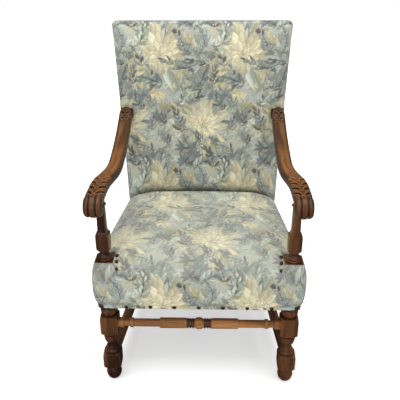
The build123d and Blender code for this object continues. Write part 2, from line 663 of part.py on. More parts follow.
def frame_pegs():
    """Start and direction of each peg through the right side's tenons."""
    high = RAIL_TOP - TENON_SHOULDER - PEG_EDGE
    low = RAIL_Z + TENON_SHOULDER + PEG_EDGE
    in_front_tenon = POST_HALF - TENON_DEPTH / 2
    in_rear_tenon = rear_leg_front(SIDE_STRETCHER_Z) + TENON_DEPTH / 2
    pegs = [
        ((POST_INNER_X + TENON_DEPTH / 2, -POST_HALF, high), (0, 1, 0)),
        ((POST_OUTER_X, in_front_tenon, high), (-1, 0, 0)),
        ((POST_OUTER_X, in_front_tenon, SIDE_STRETCHER_Z), (-1, 0, 0)),
        ((REAR_OUTER_X, REAR_FRONT_Y + TENON_DEPTH / 2, high), (-1, 0, 0)),
        ((REAR_INNER_X + TENON_DEPTH / 2, REAR_BACK_Y, low), (0, -1, 0)),
        ((REAR_OUTER_X, in_rear_tenon, SIDE_STRETCHER_Z), (-1, 0, 0)),
    ]
    for low_edge in (BACK_LOWER_RAIL_RISE, BACK_LENGTH - BACK_RAIL_HEIGHT):
        middle = low_edge + BACK_RAIL_HEIGHT / 2
        start = BACK.from_local_coords((post_inner(middle) + TENON_DEPTH / 2, middle, -POST_FACE_T))
        pegs.append((tuple(start), tuple(BACK.z_dir)))
    return pegs


def peg_holes(pegs):
    return [rod(start, way, PEG_LENGTH + FIT, PEG_RADIUS + FIT) for start, way in pegs]


def corner_block(rail_face, post_x, post_face, inwards):
    """Right-hand glue block between a cross rail's inner face, the post's corner and the side rail."""
    far = post_face + inwards * BLOCK_LEG
    points = [
        (post_x - BLOCK_LEG, rail_face),
        (post_x, rail_face),
        (post_x, post_face),
        (side_line(post_face, RAIL_THICKNESS), post_face),
        (side_line(far, RAIL_THICKNESS), far),
    ]
    low = RAIL_Z + BLOCK_RISE
    middle = Vector((points[0][0] + points[4][0]) / 2, (rail_face + far) / 2, low + BLOCK_HEIGHT / 2)
    way = Vector(post_x, post_face, low + BLOCK_HEIGHT / 2) - middle
    return prism(points, low, low + BLOCK_HEIGHT), (tuple(middle), tuple(way.normalized()))


def screw(start, way, length, clearance=0.0):
    """Wood screw with a flat round head let in flush, or its hole when there is a clearance."""
    head = rod(start, way, SCREW_HEAD_HEIGHT + clearance, SCREW_HEAD_RADIUS + clearance)
    return head + rod(start, way, length + clearance, SCREW_RADIUS + clearance)


def nail(seat, out):
    """Nail with a ball-shaped head that sits at a point and faces out."""
    ball = (NAIL_RADIUS**2 + NAIL_RISE**2) / (2 * NAIL_RISE)
    half_turn = asin(NAIL_RADIUS / ball) / 2
    on_ball = (ball * sin(half_turn), NAIL_RISE - ball + ball * cos(half_turn))
    turning = turned(
        Line((0, -NAIL_SHANK_LENGTH), (NAIL_SHANK_RADIUS, -NAIL_SHANK_LENGTH)),
        Line((NAIL_SHANK_RADIUS, -NAIL_SHANK_LENGTH), (NAIL_SHANK_RADIUS, 0)),
        Line((NAIL_SHANK_RADIUS, 0), (NAIL_RADIUS, 0)),
        ThreePointArc((NAIL_RADIUS, 0), on_ball, (0, NAIL_RISE)),
    )
    return Plane(origin=seat, z_dir=out) * turning


def nail_hole(seat, out):
    inwards = tuple(-Vector(out))
    return rod(seat, inwards, NAIL_SHANK_LENGTH + FIT, NAIL_SHANK_RADIUS + FIT)


def mirrored(places):
    """The same places and directions on the left side."""
    return [((-seat[0], seat[1], seat[2]), (-out[0], out[1], out[2])) for seat, out in places]


def nail_row(half_length):
    """Evenly spaced places to both sides of the middle, with one in the middle."""
    count = int(half_length // NAIL_SPACING)
    return [NAIL_SPACING * i for i in range(-count, count + 1)]


# Upholstery


def crown_steps():
    """Shares of inset and rise from a cushion's edge to the top of its crown, on a squared quarter circle."""
    power = 2 / CROWN_SQUARENESS
    turns = [radians(90 * step / CROWN_STEPS) for step in range(CROWN_STEPS + 1)]
    return [(1 - max(cos(turn), 0) ** power, sin(turn) ** power) for turn in turns]


def rounded_face(points, radius):
    face = make_face(Polyline(*points, close=True))
    return fillet(face.vertices(), radius)


def seat_section(out, grow, z, radius):
    points = seat_plan(out + grow, SEAT_REAR_SHARE * out + grow)
    return Pos(0, 0, z) * rounded_face(points, radius)


def seat_form(grow):
    """Outer form of the seat's stuffing: drawn in at the nailed edge, full at the sides and crowned on top."""
    low = RAIL_Z + NAIL_BAND
    sections = []
    for step in range(DRAWN_IN_STEPS):
        turn = radians(90 * step / DRAWN_IN_STEPS)
        out = SKIRT + (SEAT_BULGE - SKIRT) * sin(turn)
        radius = SEAT_HEM_CORNER + (SEAT_CORNER_RADIUS - SEAT_HEM_CORNER) * sin(turn)
        sections.append(seat_section(out, grow, low + (SEAT_BULGE_Z - low) * (1 - cos(turn)), radius))
    for inset, rise in crown_steps():
        out = SEAT_BULGE - SEAT_CROWN_REACH * inset
        z = SEAT_BULGE_Z + (SEAT_CROWN_Z + grow - SEAT_BULGE_Z) * rise
        sections.append(seat_section(out, grow, z, SEAT_CORNER_RADIUS * (1 + inset / 2)))
    band = extrude(seat_section(SKIRT, grow, RAIL_Z, SEAT_HEM_CORNER), NAIL_BAND)
    return loft(sections, ruled=True) + band


def seat_hollow(grow):
    """Space over the rails that the springs fill, under the canvas."""
    top = RAIL_Z + SPRING_HEIGHT + LAYER_GAP + CANVAS
    insets = [CANVAS_INSET - grow, CANVAS_INSET + CANVAS_TAPER - grow]
    plans = [make_face(Polyline(*seat_plan(-inset, -inset), close=True)) for inset in insets]
    return loft([Pos(0, 0, RAIL_TOP) * plans[0], Pos(0, 0, top + grow) * plans[1]], ruled=True)


def post_columns():
    """Room that the seat's upholstery leaves for all four posts."""
    high = BACK_TOP
    front = box_between(
        (POST_INNER_X - POST_ROOM, -POST_HALF - POST_ROOM, 0),
        (POST_OUTER_X + POST_ROOM, POST_HALF + POST_ROOM, high),
    )
    rear = box_between(
        (REAR_INNER_X - LAYER_GAP, REAR_FRONT_Y - LAYER_GAP, 0), (POST_OUTER_X + POST_SIDE, BACK_HEIGHT, high)
    )
    pair = front + rear
    return pair + mirror(pair, about=Plane.YZ)


def back_plan(grow, low):
    """Corners of the back in its own plane, grown outwards from the posts, from low up to its top."""
    high = BACK_LENGTH + grow
    slant = BACK_FLARE / BACK_LENGTH
    side = grow * hypot(1, slant)
    right = [(post_outer(low) + side, low), (post_outer(high) + side, high)]
    return [(-right[0][0], low), right[0], right[1], (-right[1][0], high)]


def back_slab(grow, low, t_low, t_high):
    """Flat slab on the back's plan between two depths in front of its plane."""
    face = make_face(Polyline(*back_plan(grow, low), close=True))
    return BACK * Pos(0, 0, t_low) * extrude(face, t_high - t_low)


def back_form(grow):
    """Outer form of the back's stuffing: straight round the posts, then crowned towards the sitter."""
    edge = BACK_PAD_SPREAD + grow
    low = BACK_PAD_RISE - grow
    skirt = rounded_face(back_plan(edge, low), BACK_CORNER_RADIUS)
    sections = []
    for inset, rise in crown_steps():
        drawn = BACK_CROWN_REACH * inset
        face = rounded_face(back_plan(edge - drawn, low + drawn), BACK_CORNER_RADIUS * (1 + inset))
        sections.append(BACK * Pos(0, 0, POST_FACE_T + (BACK_PAD_DEPTH + grow) * rise) * face)
    return loft(sections, ruled=True) + BACK * Pos(0, 0, -POST_FACE_T) * extrude(skirt, 2 * POST_FACE_T)


def strap(start, end, crossings, first):
    """Strap along x that lies on the wood at z = 0 and steps out over every second strap that it crosses."""
    flat = WEB_WIDTH / 2 + WEB_STEP
    line = [(start, 0)]
    for i, crossing in enumerate(crossings):
        out = WEB_STEP * ((first + i) % 2)
        line += [(crossing - flat, out), (crossing + flat, out)]
    line.append((end, 0))
    near = [(x, z + FIT) for x, z in line]
    far = [(x, z + FIT + WEB_THICKNESS) for x, z in reversed(line)]
    face = make_face(Polyline(*near, *far, close=True))
    return extrude(Plane.XZ * face, WEB_WIDTH / 2, both=True)


def spread(count, pitch, middle=0.0):
    """Evenly pitched places about a middle."""
    return [middle + pitch * (i - (count - 1) / 2) for i in range(count)]


def seat_webbing():
    """Two sets of interlaced straps under the seat rails."""
    across, deep = spread(4, WEB_PITCH), spread(4, WEB_PITCH, SEAT_MIDDLE_Y)
    along_y = Plane(origin=(0, 0, RAIL_Z), x_dir=(0, 1, 0), z_dir=(0, 0, -1))
    along_x = Plane(origin=(0, 0, RAIL_Z), x_dir=(1, 0, 0), z_dir=(0, 0, -1))
    lengthwise = [
        along_y * Pos(0, x, 0) * strap(WEB_END - POST_HALF, REAR_BACK_Y - WEB_END, deep, i)
        for i, x in enumerate(across)
    ]
    crosswise = []
    for i, y in enumerate(deep):
        end = side_line(y + WEB_WIDTH / 2, WEB_END)
        crosswise.append(along_x * Pos(0, -y, 0) * strap(-end, end, across, i + 1))
    return lengthwise, crosswise


def back_webbing():
    """Two sets of interlaced straps on the front of the back frame."""
    low, high = BACK_LOWER_RAIL_RISE + WEB_END, BACK_LENGTH - WEB_END
    arm_up = up_the_back(arm_end()[1])
    across, up = spread(3, BACK_WEB_PITCH_ACROSS), []
    for start, end in ((BACK_LOWER_RAIL_RISE, arm_up - ARM_THICKNESS), (arm_up + ARM_THICKNESS, BACK_LENGTH)):
        pitch = (end - start) / BACK_STRAPS_PER_SIDE
        up += spread(BACK_STRAPS_PER_SIDE, pitch, (start + end) / 2)
    face = BACK * Pos(0, 0, POST_FACE_T)
    upright = [face * Pos(x, 0, 0) * Rot(0, 0, 90) * strap(low, high, up, i) for i, x in enumerate(across)]
    crosswise = []
    for i, place in enumerate(up):
        end = post_outer(place - WEB_WIDTH / 2) - WEB_END
        crosswise.append(face * Pos(0, place, 0) * strap(-end, end, across, i + 1))
    return upright, crosswise


def seat_springs():
    """Hourglass springs, each one wire of half turns that tilt by turns as they climb."""
    half_turns = 2 * SPRING_TURNS
    climb = (SPRING_HEIGHT - 2 * SPRING_WIRE_RADIUS - LAYER_GAP) / half_turns
    points = []
    for step in range(half_turns + 1):
        waist = abs(1 - 2 * step / half_turns)
        radius = SPRING_WAIST_RADIUS + (SPRING_END_RADIUS - SPRING_WAIST_RADIUS) * waist
        points.append(Vector(radius * (-1) ** step, 0, climb * step))
    arcs = []
    for step, (start, end) in enumerate(zip(points, points[1:])):
        middle = (start + end) / 2
        bow = (end - start).length / 2 * (-1) ** step
        arcs.append(ThreePointArc(start, middle + Vector(0, bow, 0), end))
    section = Plane(origin=points[0], z_dir=(0, 1, 0)) * Circle(SPRING_WIRE_RADIUS)
    spring = sweep(section, path=Wire(arcs))
    foot = RAIL_Z + SPRING_WIRE_RADIUS + LAYER_GAP / 2
    return [
        Pos(x, y, foot) * spring
        for x in spread(3, SPRING_PITCH_ACROSS)
        for y in spread(3, SPRING_PITCH_DEEP, SEAT_MIDDLE_Y)
    ]


def seat_dust_cover():
    """Cloth under the webbing, cut round the legs."""
    high = RAIL_Z - FIT - 2 * WEB_STEP
    sheet = prism(seat_plan(-DUST_INSET, -DUST_INSET), high - CANVAS, high)
    room = rod((FRONT_POST_X, 0, 0), (0, 0, 1), RAIL_Z, POST_HALF + LAYER_GAP)
    room += box_between(
        (REAR_INNER_X - LAYER_GAP, REAR_FRONT_Y - LAYER_GAP, 0), (POST_OUTER_X, BACK_HEIGHT, RAIL_Z)
    )
    return sheet - room - mirror(room, about=Plane.YZ)


# Frame, each right-hand piece with its joints cut, then its mirror image


def main():
    right_front, right_rear = front_post(), rear_post()
    rail_front, rail_front_tenon = seat_rail_front()
    rail_rear, rail_rear_tenon = seat_rail_rear()
    rail_side, side_front_tenon, side_rear_tenon = seat_rail_side()
    stretcher, stretcher_front_tenon, stretcher_rear_tenon = side_stretcher(right_rear)
    bar_rear, bar_rear_tenon = rear_stretcher()
    bar_front = front_stretcher()
    rail_low, rail_low_tenon = back_rail(BACK_LOWER_RAIL_RISE, right_rear)
    rail_high, rail_high_tenon = back_rail(BACK_LENGTH - BACK_RAIL_HEIGHT, right_rear)
    right_arm, arm_tenon = arm()
    right_arm += arm_tenon
    pegs = frame_pegs()
    holes = peg_holes(pegs)
    print("frame blanks")

    # Places of the nails on the seat's nailed edge, on the back and round the posts
    slope = (POST_OUTER_X - REAR_OUTER_X) / (REAR_BACK_Y - POST_HALF)
    side_out = (1 / hypot(1, slope), slope / hypot(1, slope), 0)
    nail_z = RAIL_Z + NAIL_BAND / 2
    front_nails = [((x, -POST_HALF - HEM, nail_z), (0, -1, 0)) for x in nail_row(POST_INNER_X)]
    rear_y = REAR_BACK_Y + SKIRT * SEAT_REAR_SHARE + LAYER_GAP + COVER
    rear_nails = [((x, rear_y, nail_z), (0, 1, 0)) for x in nail_row(REAR_INNER_X)]
    corner_nails = [((POST_OUTER_X - CORNER_NAIL_INSET, -POST_HALF - HEM, nail_z), (0, -1, 0))]
    side_nails = [
        ((side_line(SEAT_MIDDLE_Y + y, -HEM), SEAT_MIDDLE_Y + y, nail_z), side_out)
        for y in nail_row(SEAT_MIDDLE_Y - POST_SIDE)
    ]
    panel_t = -POST_FACE_T - FIT - COVER
    behind = tuple(-Vector(*BACK.z_dir))

    def on_panel(x, up):
        return (tuple(BACK.from_local_coords((x, up, panel_t))), behind)

    low_row, high_row = BACK_LOWER_RAIL_RISE + BACK_NAIL_INSET, BACK_LENGTH - BACK_NAIL_INSET
    count = int((high_row - low_row) // BACK_NAIL_SPACING)
    step = (high_row - low_row) / count
    post_rows = [low_row + step * i for i in range(count + 1)]
    back_post_nails = [on_panel(post_outer(up) - BACK_NAIL_INSET, up) for up in post_rows]
    across = spread(7, BACK_NAIL_SPACING)
    low_nails = [on_panel(x, low_row) for x in across]
    high_nails = [on_panel(x, high_row) for x in across]

    front_block, front_screw = corner_block(RAIL_THICKNESS - POST_HALF, POST_INNER_X, POST_HALF, 1)
    rear_block, rear_screw = corner_block(REAR_BACK_Y - RAIL_THICKNESS, REAR_INNER_X, REAR_FRONT_Y, -1)
    front_screw_hole = screw(*front_screw, SCREW_LENGTH, FIT)
    rear_screw_hole = screw(*rear_screw, SCREW_LENGTH, FIT)
    arm_screw_seat = BACK.from_local_coords((ARM_REAR_X, up_the_back(arm_end()[1]), -POST_FACE_T))
    arm_screw = (tuple(arm_screw_seat), tuple(BACK.z_dir))
    arm_screw_hole = screw(*arm_screw, ARM_SCREW_LENGTH, FIT)
    knob_x = FRONT_POST_X - SHAFT_TOP_SIDE / 2 - ARM_PEG_PROUD
    knob_length = ARM_PEG_PROUD + ARM_PEG_DEPTH
    knob = rod((knob_x, 0, ARM_Z - ARM_PEG_DROP), (1, 0, 0), knob_length, ARM_PEG_RADIUS)
    knob = fillet(knob.edges().group_by(Axis.X)[0], ARM_PEG_RADIUS * 0.6)
    knob_hole = rod((knob_x, 0, ARM_Z - ARM_PEG_DROP), (1, 0, 0), knob_length + FIT, ARM_PEG_RADIUS + FIT)
    socket = rod((POST_INNER_X, 0, FRONT_STRETCHER_Z), (1, 0, 0), FRONT_STRETCHER_TENON_LENGTH + FIT,
                 FRONT_STRETCHER_TENON_RADIUS + FIT)

    right_front = right_front - [rail_front_tenon, side_front_tenon, stretcher_front_tenon, socket, knob_hole,
                                 front_screw_hole, *holes[0:3], *[nail_hole(*n) for n in corner_nails]]
    right_rear = right_rear - [rail_rear_tenon, side_rear_tenon, stretcher_rear_tenon, bar_rear_tenon,
                               rail_low_tenon, rail_high_tenon, arm_tenon, arm_screw_hole, rear_screw_hole,
                               *holes[3:8], *[nail_hole(*n) for n in back_post_nails]]

    def across_both(rail, tenon, cuts):
        whole = rail + tenon + mirror(tenon, about=Plane.YZ)
        return whole - [cut for hole in cuts for cut in (hole, mirror(hole, about=Plane.YZ))]

    def nailed(piece, places):
        return piece - [nail_hole(*place) for place in places]

    rail_side = nailed(rail_side + side_front_tenon + side_rear_tenon - [holes[1], holes[3]], side_nails)
    nodes = {
        "seat_rail_front": nailed(across_both(rail_front, rail_front_tenon, holes[0:1]), front_nails),
        "seat_rail_rear": nailed(across_both(rail_rear, rail_rear_tenon, holes[4:5]), rear_nails),
        "back_rail_bottom": nailed(across_both(rail_low, rail_low_tenon, holes[6:7]), low_nails),
        "back_rail_top": nailed(across_both(rail_high, rail_high_tenon, holes[7:8]), high_nails),
        "front_stretcher": bar_front,
        "rear_stretcher": across_both(bar_rear, bar_rear_tenon, []),
    }
    pairs = {
        "front_post": right_front,
        "rear_post": right_rear,
        "seat_rail": rail_side,
        "side_stretcher": stretcher - [holes[2], holes[5]],
        "arm": right_arm - arm_screw_hole,
        "corner_block_front": front_block - front_screw_hole,
        "corner_block_rear": rear_block - rear_screw_hole,
    }
    for name, piece in pairs.items():
        for side, turned_piece in both(piece).items():
            nodes[f"{name}_{side}"] = turned_piece

    def on_both_sides(pieces):
        return Compound([half for piece in pieces for half in both(piece).values()])

    nodes["frame_pegs"] = on_both_sides([rod(start, way, PEG_LENGTH, PEG_RADIUS) for start, way in pegs])
    nodes["arm_pegs"] = on_both_sides([knob])
    nodes["arm_screws"] = on_both_sides([screw(*arm_screw, ARM_SCREW_LENGTH)])
    nodes["corner_block_screws"] = on_both_sides([screw(*at, SCREW_LENGTH) for at in (front_screw, rear_screw)])
    print("frame")

    # Seat upholstery
    lengthwise, crosswise = seat_webbing()
    nodes["seat_webbing_lengthwise"] = Compound(lengthwise)
    nodes["seat_webbing_crosswise"] = Compound(crosswise)
    nodes["seat_springs"] = Compound(seat_springs())
    nodes["seat_dust_cover"] = seat_dust_cover()
    columns = post_columns()
    nodes["seat_canvas"] = seat_hollow(0) - seat_hollow(-CANVAS) - columns
    frame_room = prism(seat_plan(LAYER_GAP, LAYER_GAP), 0, RAIL_TOP + LAYER_GAP)
    back_room = back_form(COVER + 2 * LAYER_GAP)
    stuffing = seat_form(0) - frame_room - seat_hollow(LAYER_GAP) - columns - back_room
    cloth = seat_form(LAYER_GAP + COVER) - seat_form(LAYER_GAP) - columns - back_room
    rear_strip, cover = cloth.solids().sort_by(SortBy.VOLUME)[-2:]

    beside, along = POST_HALF + POST_NAIL_REACH, POST_HALF * 0.6
    post_nails = []
    for x, y in [(-beside, along * 0.4), (-beside, -along * 0.7), (-beside, -POST_HALF), (along, -beside)]:
        seat, out = cover.find_intersection_points(Axis((FRONT_POST_X + x, y, 0), (0, 0, 1)))[-1]
        post_nails.append((tuple(seat), tuple(out)))
    seat_edge = front_nails + rear_nails
    for places in (corner_nails, side_nails):
        seat_edge += places + mirrored(places)
    for side, places in (("right", post_nails), ("left", mirrored(post_nails))):
        nodes[f"front_post_{side}"] = nailed(nodes[f"front_post_{side}"], places)
    post_nails += mirrored(post_nails)
    nodes["seat_stuffing"] = nailed(stuffing, seat_edge + post_nails)
    nodes["seat_cover"] = nailed(cover, seat_edge + post_nails)
    nodes["seat_cover_rear"] = nailed(rear_strip, rear_nails)
    nodes["seat_nails"] = Compound([nail(*place) for place in seat_edge])
    nodes["post_nails"] = Compound([nail(*place) for place in post_nails])
    print("seat upholstery")

    # Back upholstery
    upright, crosswise = back_webbing()
    nodes["back_webbing_upright"] = Compound(upright)
    nodes["back_webbing_crosswise"] = Compound(crosswise)
    sleeve = arm_sleeve()
    sleeves = sleeve + mirror(sleeve, about=Plane.YZ)
    nodes["back_canvas"] = back_slab(-CANVAS_INSET, BACK_LOWER_RAIL_RISE, CANVAS_T, CANVAS_T + CANVAS) - sleeves
    room = back_slab(LAYER_GAP, 0, -BACK_HEIGHT, BACK_PAD_T) + sleeves
    nodes["back_stuffing"] = back_form(0) - room
    nodes["back_cover"] = back_form(LAYER_GAP + COVER) - back_form(LAYER_GAP) - room
    panel = back_slab(BACK_PAD_SPREAD, BACK_LOWER_RAIL_RISE, panel_t, panel_t + COVER)
    panel_nails = back_post_nails + mirrored(back_post_nails) + low_nails + high_nails
    nodes["back_outside_panel"] = nailed(panel, panel_nails)
    nodes["back_nails"] = Compound([nail(*place) for place in panel_nails])
    print("back upholstery")

    # Centred front to back, then one file for each piece
    boxes = [node.bounding_box() for node in nodes.values()]
    middle = (min(box.min.Y for box in boxes) + max(box.max.Y for box in boxes)) / 2
    print("front posts stand at y =", round(-middle, 3))
    os.makedirs("parts", exist_ok=True)
    for name, node in nodes.items():
        solids = [Pos(0, -middle, 0) * solid for solid in node.solids()]
        export_step(solids[0] if len(solids) == 1 else Compound(solids), f"parts/{name}.step")


main()
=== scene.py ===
import math

import bpy
import numpy as np
from mathutils import Matrix, Vector


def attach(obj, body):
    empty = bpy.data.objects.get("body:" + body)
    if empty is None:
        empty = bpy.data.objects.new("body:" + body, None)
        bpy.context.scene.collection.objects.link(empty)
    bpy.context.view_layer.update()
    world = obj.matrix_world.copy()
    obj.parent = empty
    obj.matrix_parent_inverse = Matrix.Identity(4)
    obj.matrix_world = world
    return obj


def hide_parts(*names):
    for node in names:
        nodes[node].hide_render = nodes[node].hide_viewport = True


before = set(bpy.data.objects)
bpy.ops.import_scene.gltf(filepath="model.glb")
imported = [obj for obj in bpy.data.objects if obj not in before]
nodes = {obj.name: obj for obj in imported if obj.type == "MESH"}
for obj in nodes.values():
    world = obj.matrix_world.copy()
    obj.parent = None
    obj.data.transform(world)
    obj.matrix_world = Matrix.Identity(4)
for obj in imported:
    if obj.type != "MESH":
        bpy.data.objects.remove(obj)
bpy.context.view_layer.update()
print("frame loaded:", len(nodes), "nodes")

mm = 0.001

# Lines that the upholstery and the arms share with the frame, in mm; y counts from the front posts' axes
chair = dict(
    shiftY=-264.666, railZ=300.0, railTop=370.0, blockTop=464.0, frontY=-27.5, rearY=505.0,
    sideAtFront=313.0, sideTaper=54 / 477.5, postX=285.5, postHalf=27.5, rearPostY=462.7, rearPostX=216.7,
    backY=484.0, recline=math.radians(8.3), backLength=697.3, postOuter=259.0, postFlare=44 / 697.3,
    postFace=20.78,
)


def sideLine(y):  # x of the frame's right side at depth y
    return chair["sideAtFront"] - chair["sideTaper"] * (y - chair["postHalf"])


def postOuter(up):  # x of the right back upright's outer face
    return chair["postOuter"] + chair["postFlare"] * up


def fromBack(x, up, t):  # back plane (across, up, towards the sitter) to chair coordinates
    c, s = math.cos(chair["recline"]), math.sin(chair["recline"])
    return np.stack([x, chair["backY"] + up * s - t * c, chair["railTop"] + up * c + t * s], -1)


def toBack(y, z):  # chair coordinates to (up, t) in the back plane
    c, s = math.cos(chair["recline"]), math.sin(chair["recline"])
    dy, dz = y - chair["backY"], z - chair["railTop"]
    return dy * s + dz * c, dz * s - dy * c


def smooth(low, high, v):  # 0 below low, 1 above high, an S-curve between
    t = np.clip((v - low) / (high - low), 0, 1)
    return t * t * (3 - 2 * t)


def runLength(line):  # distance along a line of points, from 0
    return np.concatenate([[0], np.cumsum(np.hypot(*np.diff(line, axis=0).T))])


def gridMesh(name, points, uv=None, drop=None, closed=False, flip=False, values=None, colours=None):
    # One quad between each four neighbours of a rows x columns grid of points in mm; drop marks quads
    # left out, and closed joins the last column to the first and puts flat caps on both ends
    rows, cols = points.shape[:2]
    index = np.arange(rows * cols).reshape(rows, cols)
    if closed:
        index = np.concatenate([index, index[:, :1]], 1)
    quads = np.stack([index[:-1, :-1], index[:-1, 1:], index[1:, 1:], index[1:, :-1]], -1)
    quads = quads[~drop] if drop is not None else quads.reshape(-1, 4)
    used, quads = np.unique(quads, return_inverse=True)
    quads = quads.reshape(-1, 4)
    if flip:
        quads = quads[:, ::-1]
    co = points.reshape(-1, 3)[used] * mm
    co[:, 1] += chair["shiftY"] * mm
    faces = quads.tolist()
    if closed:
        first, last = index[0, :-1].tolist(), index[-1, :-1].tolist()
        faces += [first, last[::-1]] if flip else [first[::-1], last]
    mesh = bpy.data.meshes.new(name)
    mesh.from_pydata(co.tolist(), [], faces)
    if uv is not None:
        loopVerts = np.zeros(len(mesh.loops), np.int32)
        mesh.loops.foreach_get("vertex_index", loopVerts)
        layer = mesh.uv_layers.new(name="clothMap")
        layer.data.foreach_set("uv", (uv.reshape(-1, 2)[used][loopVerts] * mm).ravel())
    for key, value in (values or {}).items():
        layer = mesh.attributes.new(key, "FLOAT", "POINT")
        layer.data.foreach_set("value", value.ravel()[used].astype(np.float32))
    if colours is not None:
        rgba = np.ones((len(used), 4), np.float32)
        rgba[:, :3] = colours.reshape(-1, 3)[used]
        layer = mesh.color_attributes.new("clothColour", "FLOAT_COLOR", "POINT")
        layer.data.foreach_set("color", rgba.ravel())
    mesh.shade_smooth()
    piece = bpy.data.objects.new(name, mesh)
    bpy.context.scene.collection.objects.link(piece)
    return piece


# Cloth design: one repeat of blossoms, lobed leaves and sprigs, drawn from petal and leaf formulas, in mm
verdure = dict(
    repeatX=284, repeatY=488, seed=31, groundDrift=0.3, groundWaves=6, mottle=0.03, mottleWaves=9,
    inks=dict(
        ground=(0.715, 0.72, 0.65), cream=(0.85, 0.82, 0.70), straw=(0.78, 0.745, 0.605),
        olive=(0.62, 0.61, 0.475), sage=(0.59, 0.62, 0.565), slate=(0.45, 0.485, 0.475),
        mist=(0.725, 0.745, 0.70), plum=(0.31, 0.30, 0.29),
    ),
    flowers=((76, 128, 96, -1.2), (216, 372, 100, -2.0)),  # x, y, size, heading
    rings=((19, 1.0, 0.105, 0.90), (18, 0.88, 0.110, 0.94), (16, 0.75, 0.110, 0.98), (14, 0.62, 0.108, 1.0),
           (12, 0.49, 0.100, 1.02), (9, 0.36, 0.085, 1.04), (7, 0.24, 0.065, 1.03), (4, 0.14, 0.04, 0.96)),
    blossom=dict(stray=0.2, length=(0.72, 1.12), heading=0.2, strawMost=0.9, strawPower=1.4, tone=(0.95, 1.04),
                 mistFrom=0.7, mistChance=0.4, kept=0.45, mist=0.5, sageChance=0.6, sageEdge=0.92,
                 oliveEdge=0.88, width=(0.8, 1.2), tip=1.35, vein=0.15, bend=0.22, line=0.75),
    collar=dict(count=30, inks=("olive", "sage", "mist", "straw", "slate"), tone=(0.95, 1.1), stray=0.2,
                length=(0.98, 1.3), width=0.1, edge=0.7, tip=1.3, vein=0.4, bend=0.25),
    leaf=dict(fan=1.05, shorter=0.35, length=(0.8, 1.15), tone=(0.9, 1.1), width=0.115,
              tip=1.05, vein=0.3, bend=0.28),
    undergrowth=dict(count=120, inks=("mist", "sage", "ground", "straw", "sage"), heading=(0, 6.28), fingers=7,
                     size=(30, 58), tone=(0.94, 1.06), edge=0.8),
    foliage=dict(count=46, inks=("sage", "slate", "olive", "sage", "slate"), heading=(-2.7, -0.4), fingers=6,
                 size=(32, 54), tone=(0.98, 1.2), edge=1.4),
    sprig=dict(cols=5, rows=7, stray=18, clear=0.7, heading=(-2.6, -0.5), size=(48, 74), tone=(0.9, 1.15),
               sage=0.92, curl=0.7, stem=0.018, pairs=6, first=0.08, fan=1.15, close=0.7, sway=0.3,
               length=(0.34, 0.56), taper=0.25, width=(0.06, 0.085), leafTone=(0.95, 1.4), pale=0.85, dark=1.3,
               tip=1.25, vein=0.15, bend=0.3, line=0.5),
)
fullTurn, anyTurn = 6.283, (0, 6.28)


